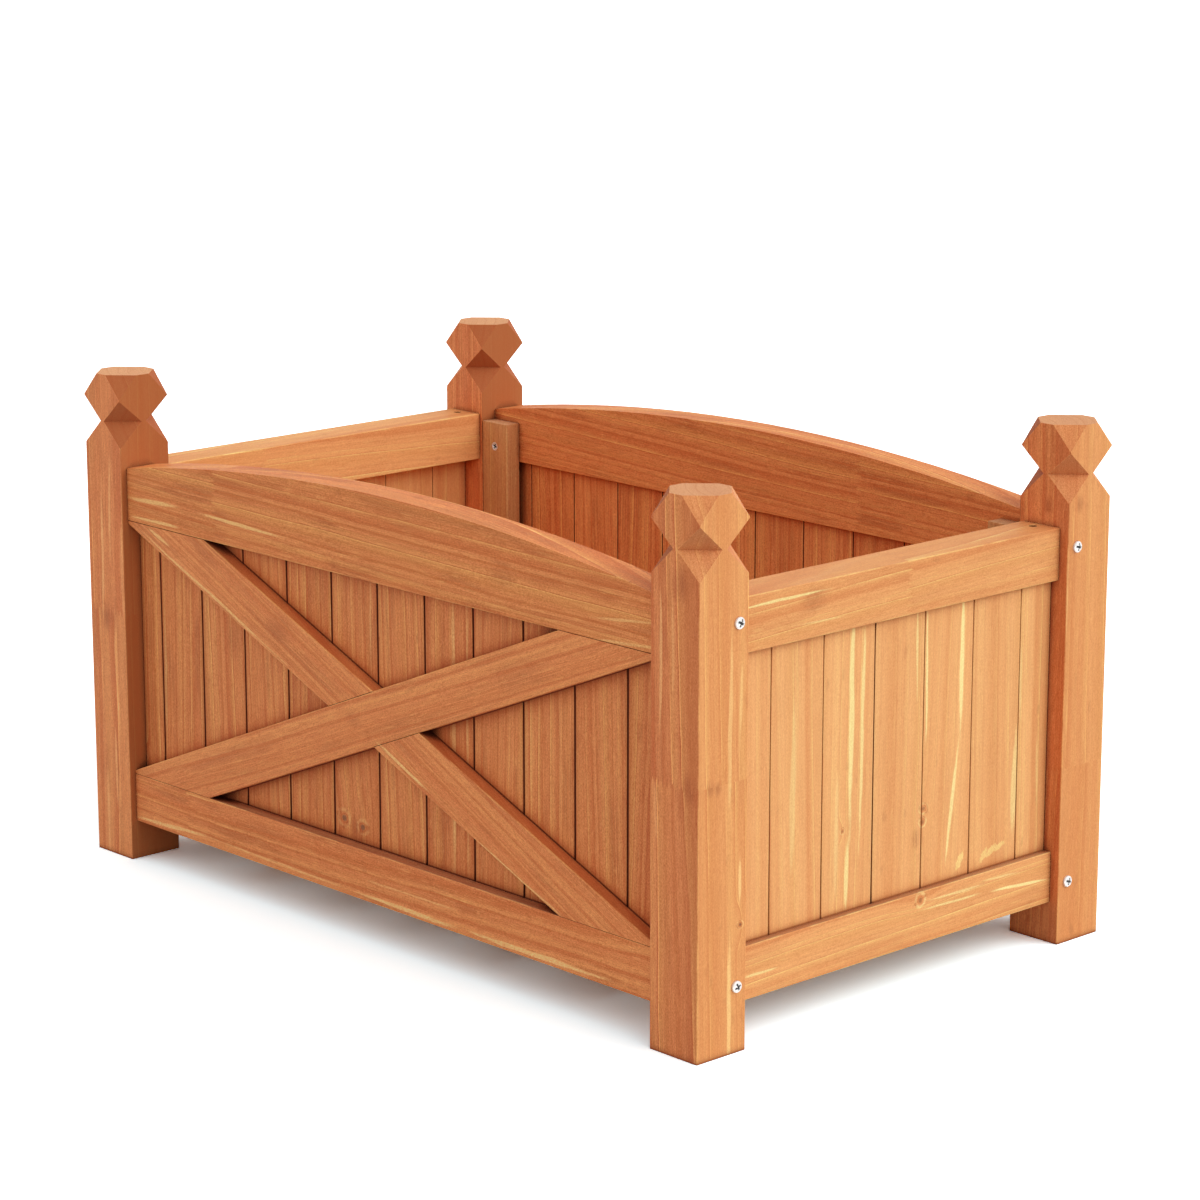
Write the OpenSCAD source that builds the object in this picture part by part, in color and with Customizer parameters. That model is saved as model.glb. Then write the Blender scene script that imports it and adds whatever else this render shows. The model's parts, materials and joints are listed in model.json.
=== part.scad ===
// Timber garden box on four posts with faceted finials.
// Its long sides carry crossed braces and an arched top rail, and its ends are plain boarding.
// Millimetres, Z up. The origin is on the ground under the middle of the box.
// X runs along the long sides, and the front is the long side at -Y.
// The back is the front turned half round, and the left end is the right end turned half round.

/* [Overall] */
// Length over the posts, along X
bed_length = 670; // [540:1:900]
// Width over the posts, along Y
bed_width = 409; // [300:1:620]
// Ground to the underside of the bottom rails
foot_clear = 30.5; // [15:0.5:80]
// Height of the boarded bay between the bottom rails and the top rails
bay_height = 200; // [140:1:300]

/* [Posts and finials] */
// Side of the square posts
post_w = 45; // [43:1:60]
// Square part of a post above the end rails
post_rise = 17.5; // [10:0.5:60]
// Height of the lower flank of the finial's corner notch
notch_low_h = 19; // [10:1:30]
// Height of the upper flank of the finial's corner notch
notch_up_h = 18; // [10:1:30]
// Height of the chamfer from the finial's tips to its top
cap_h = 18; // [8:1:30]
// Reach of the corner notch along each post face
notch_cut = 20.6; // [12:0.1:21]
// Reach of the top chamfer along each post face
cap_cut = 16.7; // [8:0.1:21]
// Upright edge left at each tip, between the notch and the chamfer
tip_edge = 0.6; // [0.4:0.1:4]

/* [Rails] */
// Height of the bottom rails and of the end top rails
rail_h = 38; // [32:1:60]
// Thickness of the side rails
side_rail_t = 26; // [23:1:36]
// Side rails lie this far behind the posts' outer faces
side_rail_setback = 5; // [0:0.5:8]
// Height of the arched side rail where it meets a post
arch_end_h = 40.5; // [32:0.5:60]
// Rise of the arched side rail from a post to its middle
arch_rise = 23; // [5:1:45]
// Thickness of the end rails
end_rail_t = 34; // [28:1:36]
// End rails lie this far behind the posts' outer faces
end_rail_setback = 7.8; // [0:0.1:9]
// Length of the tenons that the end rails have in the posts
tenon_l = 18; // [14:1:24]
// Thickness of those tenons
tenon_t = 12; // [8:1:16]
// Step from the rail's outer edge to its tenon
tenon_step = 6; // [3:1:8]

/* [Boards] */
// Thickness of the boards
board_t = 9; // [7:0.5:10]
// Side boards' faces lie this far behind the posts' outer faces
side_board_setback = 15.5; // [12:0.5:18]
// End boards' faces lie this far behind the posts' outer faces
end_board_setback = 14.2; // [12:0.1:18]
// Width that one side board covers
side_pitch = 51.7; // [40:0.1:80]
// Width that one end board covers
end_pitch = 50.2; // [40:0.1:80]
// Side boarding is laid out from a seam this far from the middle, towards the left post
side_shift = 6.3; // [0:0.1:12]
// End boarding is laid out from a board this far from the middle, towards the back post
end_shift = 1.8; // [0:0.1:8]
// Open seam between the faces of two side boards
side_seam = 0.9; // [0.3:0.1:2]
// Open seam between the faces of two end boards
end_seam = 0.5; // [0.3:0.1:2]
// Eased edge along each side of a board's face
board_arris = 0.5; // [0:0.1:1]
// Thickness of a board's tongue
tongue_t = 3; // [2:0.5:4]
// Length of a board's tongue
tongue_l = 6; // [4:0.5:8]
// Depth of the grooves in the rails that hold the boards' ends
rail_groove = 8; // [5:0.5:10]

/* [Braces] */
// Width of the crossed braces
brace_w = 38; // [25:1:50]
// Blunt end of a brace against the post
brace_tip = 2.5; // [1:0.5:8]

/* [Stiles behind the side rails] */
// Width of the stiles, along X
stile_w = 30; // [24:1:40]
// Stiles end this far inside the outer edges of the bottom rail and the end top rail
stile_inset = 5.5; // [3:0.5:6]

/* [Floor] */
// Width of the cleats that carry the floor
cleat_w = 20; // [16:1:30]
// Height of the cleats
cleat_h = 16; // [12:1:18]
// Cleats lie this far above the underside of the bottom rails
cleat_lift = 3.5; // [0:0.5:8]
// Width of a floor slat
slat_w = 75; // [50:1:90]
// Thickness of a floor slat
slat_t = 10; // [8:0.5:14]
// Least drainage gap between two floor slats
slat_gap = 9; // [5:0.5:20]

/* [Corner screws] */
// Diameter of the pan heads
pan_d = 8.2; // [7:0.1:9.5]
// Height of the pan heads
pan_h = 3; // [2:0.1:4]
// Diameter of the corner screws' shanks
corner_d = 4.5; // [3.5:0.1:5]
// Length of the corner screws under the head
corner_l = 65; // [58:1:72]
// Corner screws lie this far from the posts' outer side faces
corner_inset = 35.8; // [34:0.1:38]
// Upper corner screws lie this far above the middle of the end top rail
corner_up = 5.3; // [0:0.1:6]
// Lower corner screws lie this far below the middle of the bottom rail
corner_down = 3.2; // [0:0.1:5]
// Width of one arm of the cross recess
recess_w = 0.9; // [0.6:0.1:1.2]
// Length across the cross recess
recess_l = 4.6; // [3:0.1:5]
// Depth of the cross recess
recess_h = 1.8; // [1:0.1:2]

/* [Inner screws] */
// Diameter of the countersunk heads
sunk_d = 7; // [6:0.1:8]
// Diameter of the inner screws' shanks
inner_d = 3.5; // [3:0.1:4]
// Length of the screws that hold the stiles to the side rails
stile_screw_l = 28; // [22:1:34]
// Length of the screws that hold the cleats to the bottom side rails
cleat_screw_l = 35; // [28:1:40]
// Length of the screws that hold the slats to the cleats
slat_screw_l = 22; // [16:1:24]

/* [Peg holes in the end top rails] */
// Diameter of the holes
peg_d = 6; // [4:0.1:8]
// Depth of the holes
peg_depth = 20; // [10:1:24]
// Middle of a hole to the post beside it
peg_inset = 9.5; // [7:0.5:30]

/* [Clearances] */
// Gap where a rail, brace, board or slat ends against another piece
joint_gap = 0.2; // [0.1:0.05:0.4]
// Gap on each side of tenons, tongues, boards in grooves and screws in holes
fit_gap = 0.1; // [0.05:0.05:0.2]

/* [Hidden] */
// Middle of the box to the outer faces of the posts
half_l = bed_length / 2;
half_w = bed_width / 2;
// Bays between the posts
side_bay = bed_length - 2 * post_w;
end_bay = bed_width - 2 * post_w;
// Heights
bay_z0 = foot_clear + rail_h;
bay_z1 = bay_z0 + bay_height;
end_top_z = bay_z1 + rail_h;
shoulder_z = end_top_z + post_rise;
neck_z = shoulder_z + notch_low_h;
tip_z = neck_z + notch_up_h;
post_h = tip_z + cap_h;
// Faces of the rails, the boards, the posts and the stiles, from the middle of the box
side_rail_y = half_w - side_rail_setback;
side_inner_y = side_rail_y - side_rail_t;
side_board_y = half_w - side_board_setback;
post_inner_y = half_w - post_w;
end_rail_x = half_l - end_rail_setback;
end_inner_x = end_rail_x - end_rail_t;
end_board_x = half_l - end_board_setback;
tenon_x = (end_rail_x + end_inner_x) / 2;
stile_x = half_l - post_w - joint_gap;
stile_end_x = stile_x - stile_w;
// Arch of the side top rails: the circle through both ends and the middle
arch_end_z = bay_z1 + arch_end_h;
arch_r = (pow(side_bay / 2, 2) + pow(arch_rise, 2)) / (2 * arch_rise);
arch_steps = 720;
// Braces: the slope at which a bar of brace_w fits the bay with its tips cut blunt
brace_t = side_board_setback - side_rail_setback - fit_gap;
brace_run = side_bay - 2 * joint_gap;
brace_height = bay_height - 2 * joint_gap;
brace_span = brace_height - 2 * brace_tip;
brace_diagonal = norm([brace_run, brace_span]);
brace_angle = atan(brace_span / brace_run) + asin(brace_w / brace_diagonal);
brace_foot = brace_run - (brace_height - brace_tip) / tan(brace_angle);
// Boards: how many seams lie on each side of the layout line, with at least end_min left over
end_min = 12;
side_seams_left = floor((side_bay / 2 - side_shift - end_min) / side_pitch);
side_seams_right = floor((side_bay / 2 + side_shift - end_min) / side_pitch);
side_boards = side_seams_left + side_seams_right + 2;
end_seams_front = floor((end_bay / 2 + end_shift - end_min) / end_pitch + 0.5);
end_seams_back = floor((end_bay / 2 - end_shift - end_min) / end_pitch + 0.5);
end_boards = end_seams_front + end_seams_back + 1;
board_z0 = bay_z0 - rail_groove + joint_gap;
board_z1 = bay_z1 + rail_groove - joint_gap;
// Floor
cleat_z = foot_clear + cleat_lift;
slat_z = cleat_z + cleat_h;
floor_run = 2 * (end_inner_x - joint_gap);
slats = floor((floor_run + slat_gap) / (slat_w + slat_gap));
slat_step = (floor_run - slat_w) / (slats - 1);
slat_end_y = side_inner_y - joint_gap;
cleat_end_x = stile_end_x - joint_gap;
cleat_y = side_inner_y - cleat_w / 2;
// Screws: groove_wall is the wood from a board groove to the middle of a stile's screw
groove_wall = 5;
corner_zs = [foot_clear + rail_h / 2 - corner_down, end_top_z - rail_h / 2 + corner_up];
stile_screw_zs = [bay_z0 - rail_groove - groove_wall, bay_z1 + rail_groove + groove_wall];
stile_screw_x = stile_x - stile_w / 2;
cleat_screw_xs = [for (i = [0:slats - 2]) slat_x(i) + slat_step / 2];
sunk_h = (sunk_d - inner_d) / 2;
// Reach of cuts beyond a face, and steps round the screws and their holes
over = 1;
screw_steps = 32;
// Colours
side_colour = [0.79, 0.49, 0.32];
end_colour = [0.90, 0.65, 0.42];
post_colour = [0.86, 0.58, 0.38];
inner_colour = [0.66, 0.40, 0.24];
zinc_colour = [0.86, 0.86, 0.87];

function two_digits(i) = str(i < 10 ? "0" : "", i);

// The same piece on the opposite side of the box
module half_turn() {
    rotate(180) children();
}

// Both this piece and its twin on the opposite side
module pair() {
    children();
    half_turn() children();
}

// This piece and its mirror image across the middle of a side
module mirrored_x() {
    children();
    mirror([1, 0, 0]) children();
}

module mirrored_y() {
    children();
    mirror([0, 1, 0]) children();
}

// Box between two opposite corners
module block(a, b) {
    translate(a) cube(b - a);
}

// Shape drawn in X and Z, as seen from the front, between two depths in Y
module in_front_plane(y0, y1) {
    translate([0, y1, 0]) rotate([90, 0, 0]) linear_extrude(y1 - y0) children();
}

// Corner waste of a finial, drawn in distance from the post's axis and height
module finial_waste() {
    corner = post_w / sqrt(2);
    neck = corner - notch_cut / sqrt(2);
    top = corner - cap_cut / sqrt(2);
    low_slope = notch_low_h / (corner - neck);
    up_slope = (notch_up_h - tip_edge / 2) / (corner - neck);
    cap_slope = (cap_h - tip_edge / 2) / (corner - top);
    outside = corner + over;
    polygon([
        [neck, neck_z],
        [outside, shoulder_z - over * low_slope],
        [outside, tip_z - tip_edge / 2 + over * up_slope]
    ]);
    polygon([
        [outside, tip_z + tip_edge / 2 - over * cap_slope],
        [top - over, post_h + over * cap_slope],
        [outside, post_h + over * cap_slope]
    ]);
}

// Post at the front right corner
module post() {
    difference() {
        block([half_l - post_w, -half_w, 0], [half_l, post_w - half_w, post_h]);
        translate([half_l - post_w / 2, post_w / 2 - half_w, 0])
            for (a = [45:90:315]) rotate(a)
                in_front_plane(-post_w, post_w) finial_waste();
        tenon_waste(bottom_tenon_z());
        tenon_waste(top_tenon_z());
        for (z = corner_zs) corner_screw_hole(z);
    }
}

function bottom_tenon_z() = [foot_clear + tenon_step, bay_z0 - rail_groove - over];
function top_tenon_z() = [bay_z1 + rail_groove + over, end_top_z - tenon_step];

// Tenon of an end rail at the front right post, between two heights
module tenon(zs, grow = 0, start = over) {
    block(
        [tenon_x - tenon_t / 2 - grow, -post_inner_y - tenon_l - grow, zs[0] - grow],
        [tenon_x + tenon_t / 2 + grow, start - post_inner_y, zs[1] + grow]
    );
}

// Mortise for that tenon
module tenon_waste(zs) {
    tenon(zs, fit_gap);
}

// Hole for a corner screw through the front right post and what lies behind it
module corner_screw_hole(z) {
    translate([half_l + over, corner_inset - half_w, z])
        rotate([0, -90, 0])
            cylinder(d = corner_d + 2 * fit_gap, h = corner_l + over + joint_gap, $fn = screw_steps);
}

// Groove for board ends along the right end, between two heights
module end_groove(z0, z1) {
    block(
        [end_board_x - board_t - fit_gap, -end_bay / 2 - over, z0],
        [end_board_x + fit_gap, end_bay / 2 + over, z1]
    );
}

// End rail at the right end, with its groove and its tenons
module end_rail(z0, z1, groove_z0, groove_z1, tenon_zs) {
    difference() {
        union() {
            block(
                [end_inner_x, joint_gap - end_bay / 2, z0],
                [end_rail_x, end_bay / 2 - joint_gap, z1]
            );
            mirrored_y() tenon(tenon_zs);
        }
        end_groove(groove_z0, groove_z1);
        mirrored_y() for (z = corner_zs) corner_screw_hole(z);
    }
}

module end_bottom_rail() {
    end_rail(foot_clear, bay_z0, bay_z0 - rail_groove, bay_z0 + over, bottom_tenon_z());
}

module end_top_rail() {
    difference() {
        end_rail(bay_z1, end_top_z, bay_z1 - over, bay_z1 + rail_groove, top_tenon_z());
        mirrored_y() translate([tenon_x, peg_inset - end_bay / 2, end_top_z - peg_depth])
            cylinder(d = peg_d, h = peg_depth + over, $fn = screw_steps);
    }
}

// Groove for board ends along the front, between two heights
module side_groove(z0, z1) {
    block(
        [-half_l, -side_board_y - fit_gap, z0],
        [half_l, board_t + fit_gap - side_board_y, z1]
    );
}

// Plain blank of a front side rail
module side_blank(z0, z1) {
    block(
        [joint_gap - side_bay / 2, -side_rail_y, z0],
        [side_bay / 2 - joint_gap, -side_inner_y, z1]
    );
}

module side_bottom_rail() {
    difference() {
        side_blank(foot_clear, bay_z0);
        side_groove(bay_z0 - rail_groove, bay_z0 + over);
        mirrored_x() stile_screw_hole(stile_screw_zs[0]);
        for (x = cleat_screw_xs) cleat_screw_hole(x);
    }
}

module side_top_rail() {
    difference() {
        intersection() {
            side_blank(bay_z1, arch_end_z + arch_rise + over);
            translate([0, 0, arch_end_z + arch_rise - arch_r])
                rotate([90, 0, 0])
                    cylinder(r = arch_r, h = bed_width, $fn = arch_steps);
        }
        side_groove(bay_z1 - over, bay_z1 + rail_groove);
        mirrored_x() stile_screw_hole(stile_screw_zs[1]);
    }
}

// Outline of the brace that rises to the right, seen from the front
module brace_outline() {
    left = -brace_run / 2;
    right = brace_run / 2;
    low = bay_z0 + joint_gap;
    high = bay_z1 - joint_gap;
    polygon([
        [left, low],
        [left + brace_foot, low],
        [right, high - brace_tip],
        [right, high],
        [right - brace_foot, high],
        [left, low + brace_tip]
    ]);
}

// Bar along the centre line of a brace, as wide as the notch that lets the brace in
module lap_bar(angle) {
    translate([0, (bay_z0 + bay_z1) / 2])
        rotate(angle)
            square([brace_diagonal, brace_w + 2 * fit_gap], center = true);
}

// The braces are halved where they cross: the rising one keeps its face
module rising_brace() {
    lap_y = brace_t / 2 - side_rail_y;
    difference() {
        in_front_plane(-side_rail_y, brace_t - side_rail_y) brace_outline();
        in_front_plane(lap_y - fit_gap / 2, brace_t + over - side_rail_y) lap_bar(-brace_angle);
    }
}

module falling_brace() {
    lap_y = brace_t / 2 - side_rail_y;
    difference() {
        in_front_plane(-side_rail_y, brace_t - side_rail_y) mirror([1, 0]) brace_outline();
        in_front_plane(-side_rail_y - over, lap_y + fit_gap / 2) lap_bar(brace_angle);
    }
}

// Section of a tongued and grooved board from edge a to edge b, with its face on the X axis
module board_section(a, b, seam, grooved, tongued) {
    g0 = (board_t - tongue_t) / 2;
    g1 = (board_t + tongue_t) / 2;
    groove_d = tongue_l - seam + 2 * fit_gap;
    polygon(concat(
        [[a + board_arris, 0], [b - board_arris, 0], [b, board_arris]],
        tongued ? [[b, g0], [b + tongue_l, g0], [b + tongue_l, g1], [b, g1]] : [],
        [[b, board_t], [a, board_t]],
        grooved ? [
            [a, g1 + fit_gap],
            [a + groove_d, g1 + fit_gap],
            [a + groove_d, g0 - fit_gap],
            [a, g0 - fit_gap]
        ] : [],
        [[a, board_arris]]
    ));
}

// Upright board whose section runs along X, before it is turned into its side
module board(a, b, seam, first, last) {
    translate([0, 0, board_z0]) linear_extrude(board_z1 - board_z0)
        board_section(a, b, seam, !first, !last);
}

// Front board number i, counted from the left post
module side_board(i) {
    first = i == 1;
    last = i == side_boards;
    seam_x = -side_shift + side_pitch * (i - 1 - side_seams_left);
    a = first ? joint_gap - side_bay / 2 : seam_x - side_pitch + side_seam / 2;
    b = last ? side_bay / 2 - joint_gap : seam_x - side_seam / 2;
    translate([0, -side_board_y, 0]) board(a, b, side_seam, first, last);
}

// Right end board number i, counted from the front post
module end_board(i) {
    first = i == 1;
    last = i == end_boards;
    seam_y = end_shift + end_pitch * (i - end_seams_front - 0.5);
    a = first ? joint_gap - end_bay / 2 : seam_y - end_pitch + end_seam / 2;
    b = last ? end_bay / 2 - joint_gap : seam_y - end_seam / 2;
    translate([end_board_x, 0, 0]) rotate(90) board(a, b, end_seam, first, last);
}

// Stile behind the front side rails, beside the right post
module stile() {
    difference() {
        block(
            [stile_end_x, -side_inner_y, foot_clear + stile_inset],
            [stile_x, -post_inner_y, end_top_z - stile_inset]
        );
        for (z = corner_zs) corner_screw_hole(z);
        for (z = stile_screw_zs) stile_screw_hole(z);
    }
}

module side_stiles() {
    color(inner_colour) pair() mirrored_x() stile();
}

// Cleat inside the front bottom rail
module cleat() {
    difference() {
        block([-cleat_end_x, -side_inner_y, cleat_z], [cleat_end_x, cleat_w - side_inner_y, slat_z]);
        for (x = cleat_screw_xs) cleat_screw_hole(x);
        for (i = [0:slats - 1]) slat_screw_hole(i);
    }
}

module floor_cleats() {
    color(inner_colour) pair() cleat();
}

function slat_x(i) = slat_w / 2 - floor_run / 2 + i * slat_step;

// Screw line of a slat: its middle, or the middle of what its cleat carries
function slat_screw_x(i) =
    let (x = slat_x(i), inner = abs(x) - slat_w / 2, outer = min(abs(x) + slat_w / 2, cleat_end_x))
    sign(x) * (x == 0 ? 0 : (inner + outer) / 2);

// Floor slat number i from the left: the end slats are notched round the posts and the stiles
module floor_slat(i) {
    difference() {
        block(
            [slat_x(i) - slat_w / 2, -slat_end_y, slat_z],
            [slat_x(i) + slat_w / 2, slat_end_y, slat_z + slat_t]
        );
        mirrored_x() mirrored_y()
            block(
                [stile_end_x - joint_gap, post_inner_y - joint_gap, slat_z - over],
                [half_l, half_w, slat_z + slat_t + over]
            );
        pair() slat_screw_hole(i);
        pair() slat_screw_hole(slats - 1 - i);
    }
}

module floor_slats() {
    color(inner_colour) for (i = [0:slats - 1]) floor_slat(i);
}

// Pan head screw pointing down, with the underside of its head at the origin
module pan_screw() {
    difference() {
        union() {
            rotate_extrude($fn = screw_steps) pan_section();
            translate([0, 0, -corner_l]) cylinder(d = corner_d, h = corner_l + pan_h / 2, $fn = screw_steps);
        }
        for (a = [0, 90]) rotate(a)
            translate([0, 0, pan_h - recess_h / 2])
                cube([recess_l, recess_w, recess_h + over / 10], center = true);
    }
}

// Half section of a pan head: a flat disc with a rounded shoulder
module pan_section() {
    intersection() {
        square([pan_d / 2, pan_h]);
        translate([0, -pan_dome_r() + pan_h]) circle(r = pan_dome_r(), $fn = 4 * screw_steps);
    }
}

// Radius of the dome that leaves a rim half as high as the head
function pan_dome_r() = (pow(pan_d / 2, 2) + pow(pan_h / 2, 2)) / pan_h;

module corner_screws() {
    color(zinc_colour) pair() mirrored_y() for (z = corner_zs)
        translate([half_l, corner_inset - half_w, z]) rotate([0, 90, 0]) pan_screw();
}

// Countersunk screw pointing down, with its head flush at the origin
module sunk_screw(length, grow = 0) {
    head = sunk_d / 2 + grow;
    shank = inner_d / 2 + grow;
    rotate_extrude($fn = screw_steps) polygon([
        [0, 0], [head, 0], [shank, -sunk_h], [shank, -length - grow], [0, -length - grow]
    ]);
}

// Hole for such a screw, open above its head
module sunk_hole(length) {
    sunk_screw(length, fit_gap);
    translate([0, 0, -fit_gap]) cylinder(d = sunk_d + 2 * fit_gap, h = fit_gap + over, $fn = screw_steps);
}

// Places of the inner screws at the front
module at_stile_screw(z) {
    translate([stile_screw_x, -post_inner_y, z]) rotate([-90, 0, 0]) children();
}

module at_cleat_screw(x) {
    translate([x, cleat_w - side_inner_y, (cleat_z + slat_z) / 2]) rotate([-90, 0, 0]) children();
}

module at_slat_screw(i) {
    translate([slat_screw_x(i), -cleat_y, slat_z + slat_t]) children();
}

module stile_screw_hole(z) {
    at_stile_screw(z) sunk_hole(stile_screw_l);
}

module cleat_screw_hole(x) {
    at_cleat_screw(x) sunk_hole(cleat_screw_l);
}

module slat_screw_hole(i) {
    at_slat_screw(i) sunk_hole(slat_screw_l);
}

module inner_screws() {
    color(zinc_colour) pair() {
        mirrored_x() for (z = stile_screw_zs) at_stile_screw(z) sunk_screw(stile_screw_l);
        for (x = cleat_screw_xs) at_cleat_screw(x) sunk_screw(cleat_screw_l);
        for (i = [0:slats - 1]) at_slat_screw(i) sunk_screw(slat_screw_l);
    }
}

module front_right_post() {
    color(post_colour) post();
}

module front_left_post() {
    color(post_colour) mirror([1, 0, 0]) post();
}

module back_right_post() {
    color(post_colour) mirror([0, 1, 0]) post();
}

module back_left_post() {
    color(post_colour) half_turn() post();
}

module front_top_rail() {
    color(side_colour) side_top_rail();
}

module front_bottom_rail() {
    color(side_colour) side_bottom_rail();
}

module back_top_rail() {
    color(side_colour) half_turn() side_top_rail();
}

module back_bottom_rail() {
    color(side_colour) half_turn() side_bottom_rail();
}

module right_top_rail() {
    color(end_colour) end_top_rail();
}

module right_bottom_rail() {
    color(end_colour) end_bottom_rail();
}

module left_top_rail() {
    color(end_colour) half_turn() end_top_rail();
}

module left_bottom_rail() {
    color(end_colour) half_turn() end_bottom_rail();
}

module front_rising_brace() {
    color(side_colour) rising_brace();
}

module front_falling_brace() {
    color(side_colour) falling_brace();
}

module back_rising_brace() {
    color(side_colour) half_turn() rising_brace();
}

module back_falling_brace() {
    color(side_colour) half_turn() falling_brace();
}

module front_board(i) {
    color(side_colour) side_board(i);
}

module back_board(i) {
    color(side_colour) half_turn() side_board(i);
}

module right_board(i) {
    color(end_colour) end_board(i);
}

module left_board(i) {
    color(end_colour) half_turn() end_board(i);
}

front_left_post();
front_right_post();
back_left_post();
back_right_post();
front_top_rail();
front_bottom_rail();
back_top_rail();
back_bottom_rail();
right_top_rail();
right_bottom_rail();
left_top_rail();
left_bottom_rail();
front_rising_brace();
front_falling_brace();
back_rising_brace();
back_falling_brace();
for (i = [1:side_boards]) {
    front_board(i);
    back_board(i);
}
for (i = [1:end_boards]) {
    right_board(i);
    left_board(i);
}
side_stiles();
floor_cleats();
floor_slats();
corner_screws();
inner_screws();
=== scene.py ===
import json
import math

import bmesh
import bpy
import numpy as np
from bpy.props import FloatProperty, FloatVectorProperty, IntProperty, PointerProperty
from mathutils import Matrix, Vector

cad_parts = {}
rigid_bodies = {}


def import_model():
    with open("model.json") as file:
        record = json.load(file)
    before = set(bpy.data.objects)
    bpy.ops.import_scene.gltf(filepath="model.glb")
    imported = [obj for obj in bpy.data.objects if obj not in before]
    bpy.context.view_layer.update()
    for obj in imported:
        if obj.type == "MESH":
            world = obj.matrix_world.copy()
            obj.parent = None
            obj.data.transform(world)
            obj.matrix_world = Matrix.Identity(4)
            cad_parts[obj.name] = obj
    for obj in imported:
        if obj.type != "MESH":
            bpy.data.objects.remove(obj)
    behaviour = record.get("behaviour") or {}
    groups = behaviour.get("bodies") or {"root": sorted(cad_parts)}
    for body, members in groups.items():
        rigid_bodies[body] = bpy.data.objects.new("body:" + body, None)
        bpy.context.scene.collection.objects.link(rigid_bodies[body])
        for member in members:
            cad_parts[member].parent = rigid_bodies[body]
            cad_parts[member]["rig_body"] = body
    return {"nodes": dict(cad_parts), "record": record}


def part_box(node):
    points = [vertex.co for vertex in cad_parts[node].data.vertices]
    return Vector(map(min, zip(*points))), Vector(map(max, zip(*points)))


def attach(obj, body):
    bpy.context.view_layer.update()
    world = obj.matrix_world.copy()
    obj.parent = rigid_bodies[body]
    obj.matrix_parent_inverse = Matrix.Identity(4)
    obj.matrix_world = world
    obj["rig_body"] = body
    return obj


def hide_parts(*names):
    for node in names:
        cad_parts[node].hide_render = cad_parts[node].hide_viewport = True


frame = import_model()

bl_info = {
    "name": "Raised garden bed",
    "version": (1, 0, 0),
    "blender": (4, 5, 0),
    "location": "3D View > Sidebar > Garden Bed",
    "description": "Stained timber planter with crossed braces, built round its packed solids",
    "category": "Object",
}

MM = 1000.0
WHITE = (1.0, 1.0, 1.0, 1.0)
NO_CHANGE = (1.0, 1.0, 1.0)
TINY = 1e-9

# A distance in millimetres that is longer than any on the bed.
FAR_AWAY = 9000.0

# Limits for merging and rounding the timbers' meshes, in metres and radians.
WELD_REACH = 2e-6
FLAT_ANGLE = math.radians(0.3)
ARRIS_ANGLE = math.radians(24)
CREASE_ANGLE = math.radians(52)
LONG_EDGE = 0.1
SHORT_EDGE = 0.003
BOARD_STEPS = 1
FACET_STEPS = 2
ROUND_PROFILE = 0.5
LARGE_FACE_WEIGHT = 90

# How nearly along the grain a face must lie to count as a long one, how level a face is that counts as a
# top, how much of a face that looks down counts as turned inwards, and how deep a seam's edge is.
ALONG_GRAIN = 0.05
LEVEL_TOP = 0.99
LOOKS_DOWN = 0.45
SEAM_EDGE = 0.0006

# Where in its trunk a piece may be cut: how far round the pith it is turned, in radians, and how deep the
# pith lies, in millimetres. A trunk has one length for all, and a piece leans off its line a little.
TRUNK = {
    "post": ((0.54, 0.78), (45, 85)), "board": ((0.75, 1.5), (45, 130)),
    "other": ((1.0, 1.5), (45, 130)),
}
TRUNK_LENGTH = 4000
LEAN = 0.022

# Finger joints: half the width of a finger, its slope, half its length, and where in its trunk the next
# length lies, all but the slope in millimetres.
FINGER_HALF = 1.9
FINGER_SLOPE = 3.4
FINGER_MIDDLE = 3.2
NEXT_LENGTH = (417.0, 7.0, 10.0)

# Screws: how far a pan head stands proud at least, and the shanks' radii, in metres.
PAN_PROUD = 0.001
PAN_SHANK = 0.00225
FLUSH_SHANK = 0.002

# Thread: its core as a share of the shank, how sharp its ridges are, rows for each turn, fewest rows, how
# long the tip is in shank radii, how bluntly it ends, how thin it gets, how far below the head the rows
# start, in metres, and how much darker it is between its ridges.
CORE_SHARE = 0.76
RIDGE_POWER = 2.2
ROWS_A_TURN = 4
FEWEST_ROWS = 12
TIP_LENGTH = 2.6
TIP_POWER = 0.8
TIP_END = 0.02
SHANK_TOP = 0.0008
THREAD_DARKENING = 0.35

# Heads: rings from the middle to the rim as shares of the radius, how far the outer ones drop and the
# rim's height, in metres, then the radii under a pan head and at a flush head's neck as shares. The cross
# recess ends at a share of the radius, and its walls slope over these widths, in metres.
HEAD_RINGS = np.concatenate([np.linspace(0.03, 0.92, 17), [0.965, 0.99, 1.0]])
PAN_RIM_DROP = np.array([0.00002, 0.00010, 0.00028])
FLUSH_RIM_DROP = np.array([0.00002, 0.00012])
PAN_RIM = 0.0002
UNDER_HEAD = 0.985
FLUSH_NECK = 1.02
RECESS_REACH = 0.66
ARM_WALL = 0.00022
REACH_WALL = 0.0004

# A screw is turned in by an angle between two, in radians. A point belongs to its head's widest ring from
# this share of the radius on.
TURNED_IN = (0.2, 0.5)
SEAT_RING = 0.98

# Stage: where the lights come from, the floor's half width and tone, where beside the bed its shadow's
# tint fades, and the camera's place, directions and reach.
KEY_WAY = (0.78, 0.42, 0.46)
FRONT_WAY = (-0.30, -0.95, 0.10)
FLOOR_HALF = 12.0
FLOOR_MATT = (0.58, 0.58, 0.58)
SHADOW_EDGE = (0.02, 0.12)
CAMERA_PLACE = (1.9475, -1.7965, 0.8424)
CAMERA_FORWARD = (-0.7120, 0.6644, -0.2272)
CAMERA_RIGHT = (0.6825, 0.7309, 0.0)
CAMERA_REACH = 50.0

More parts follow.
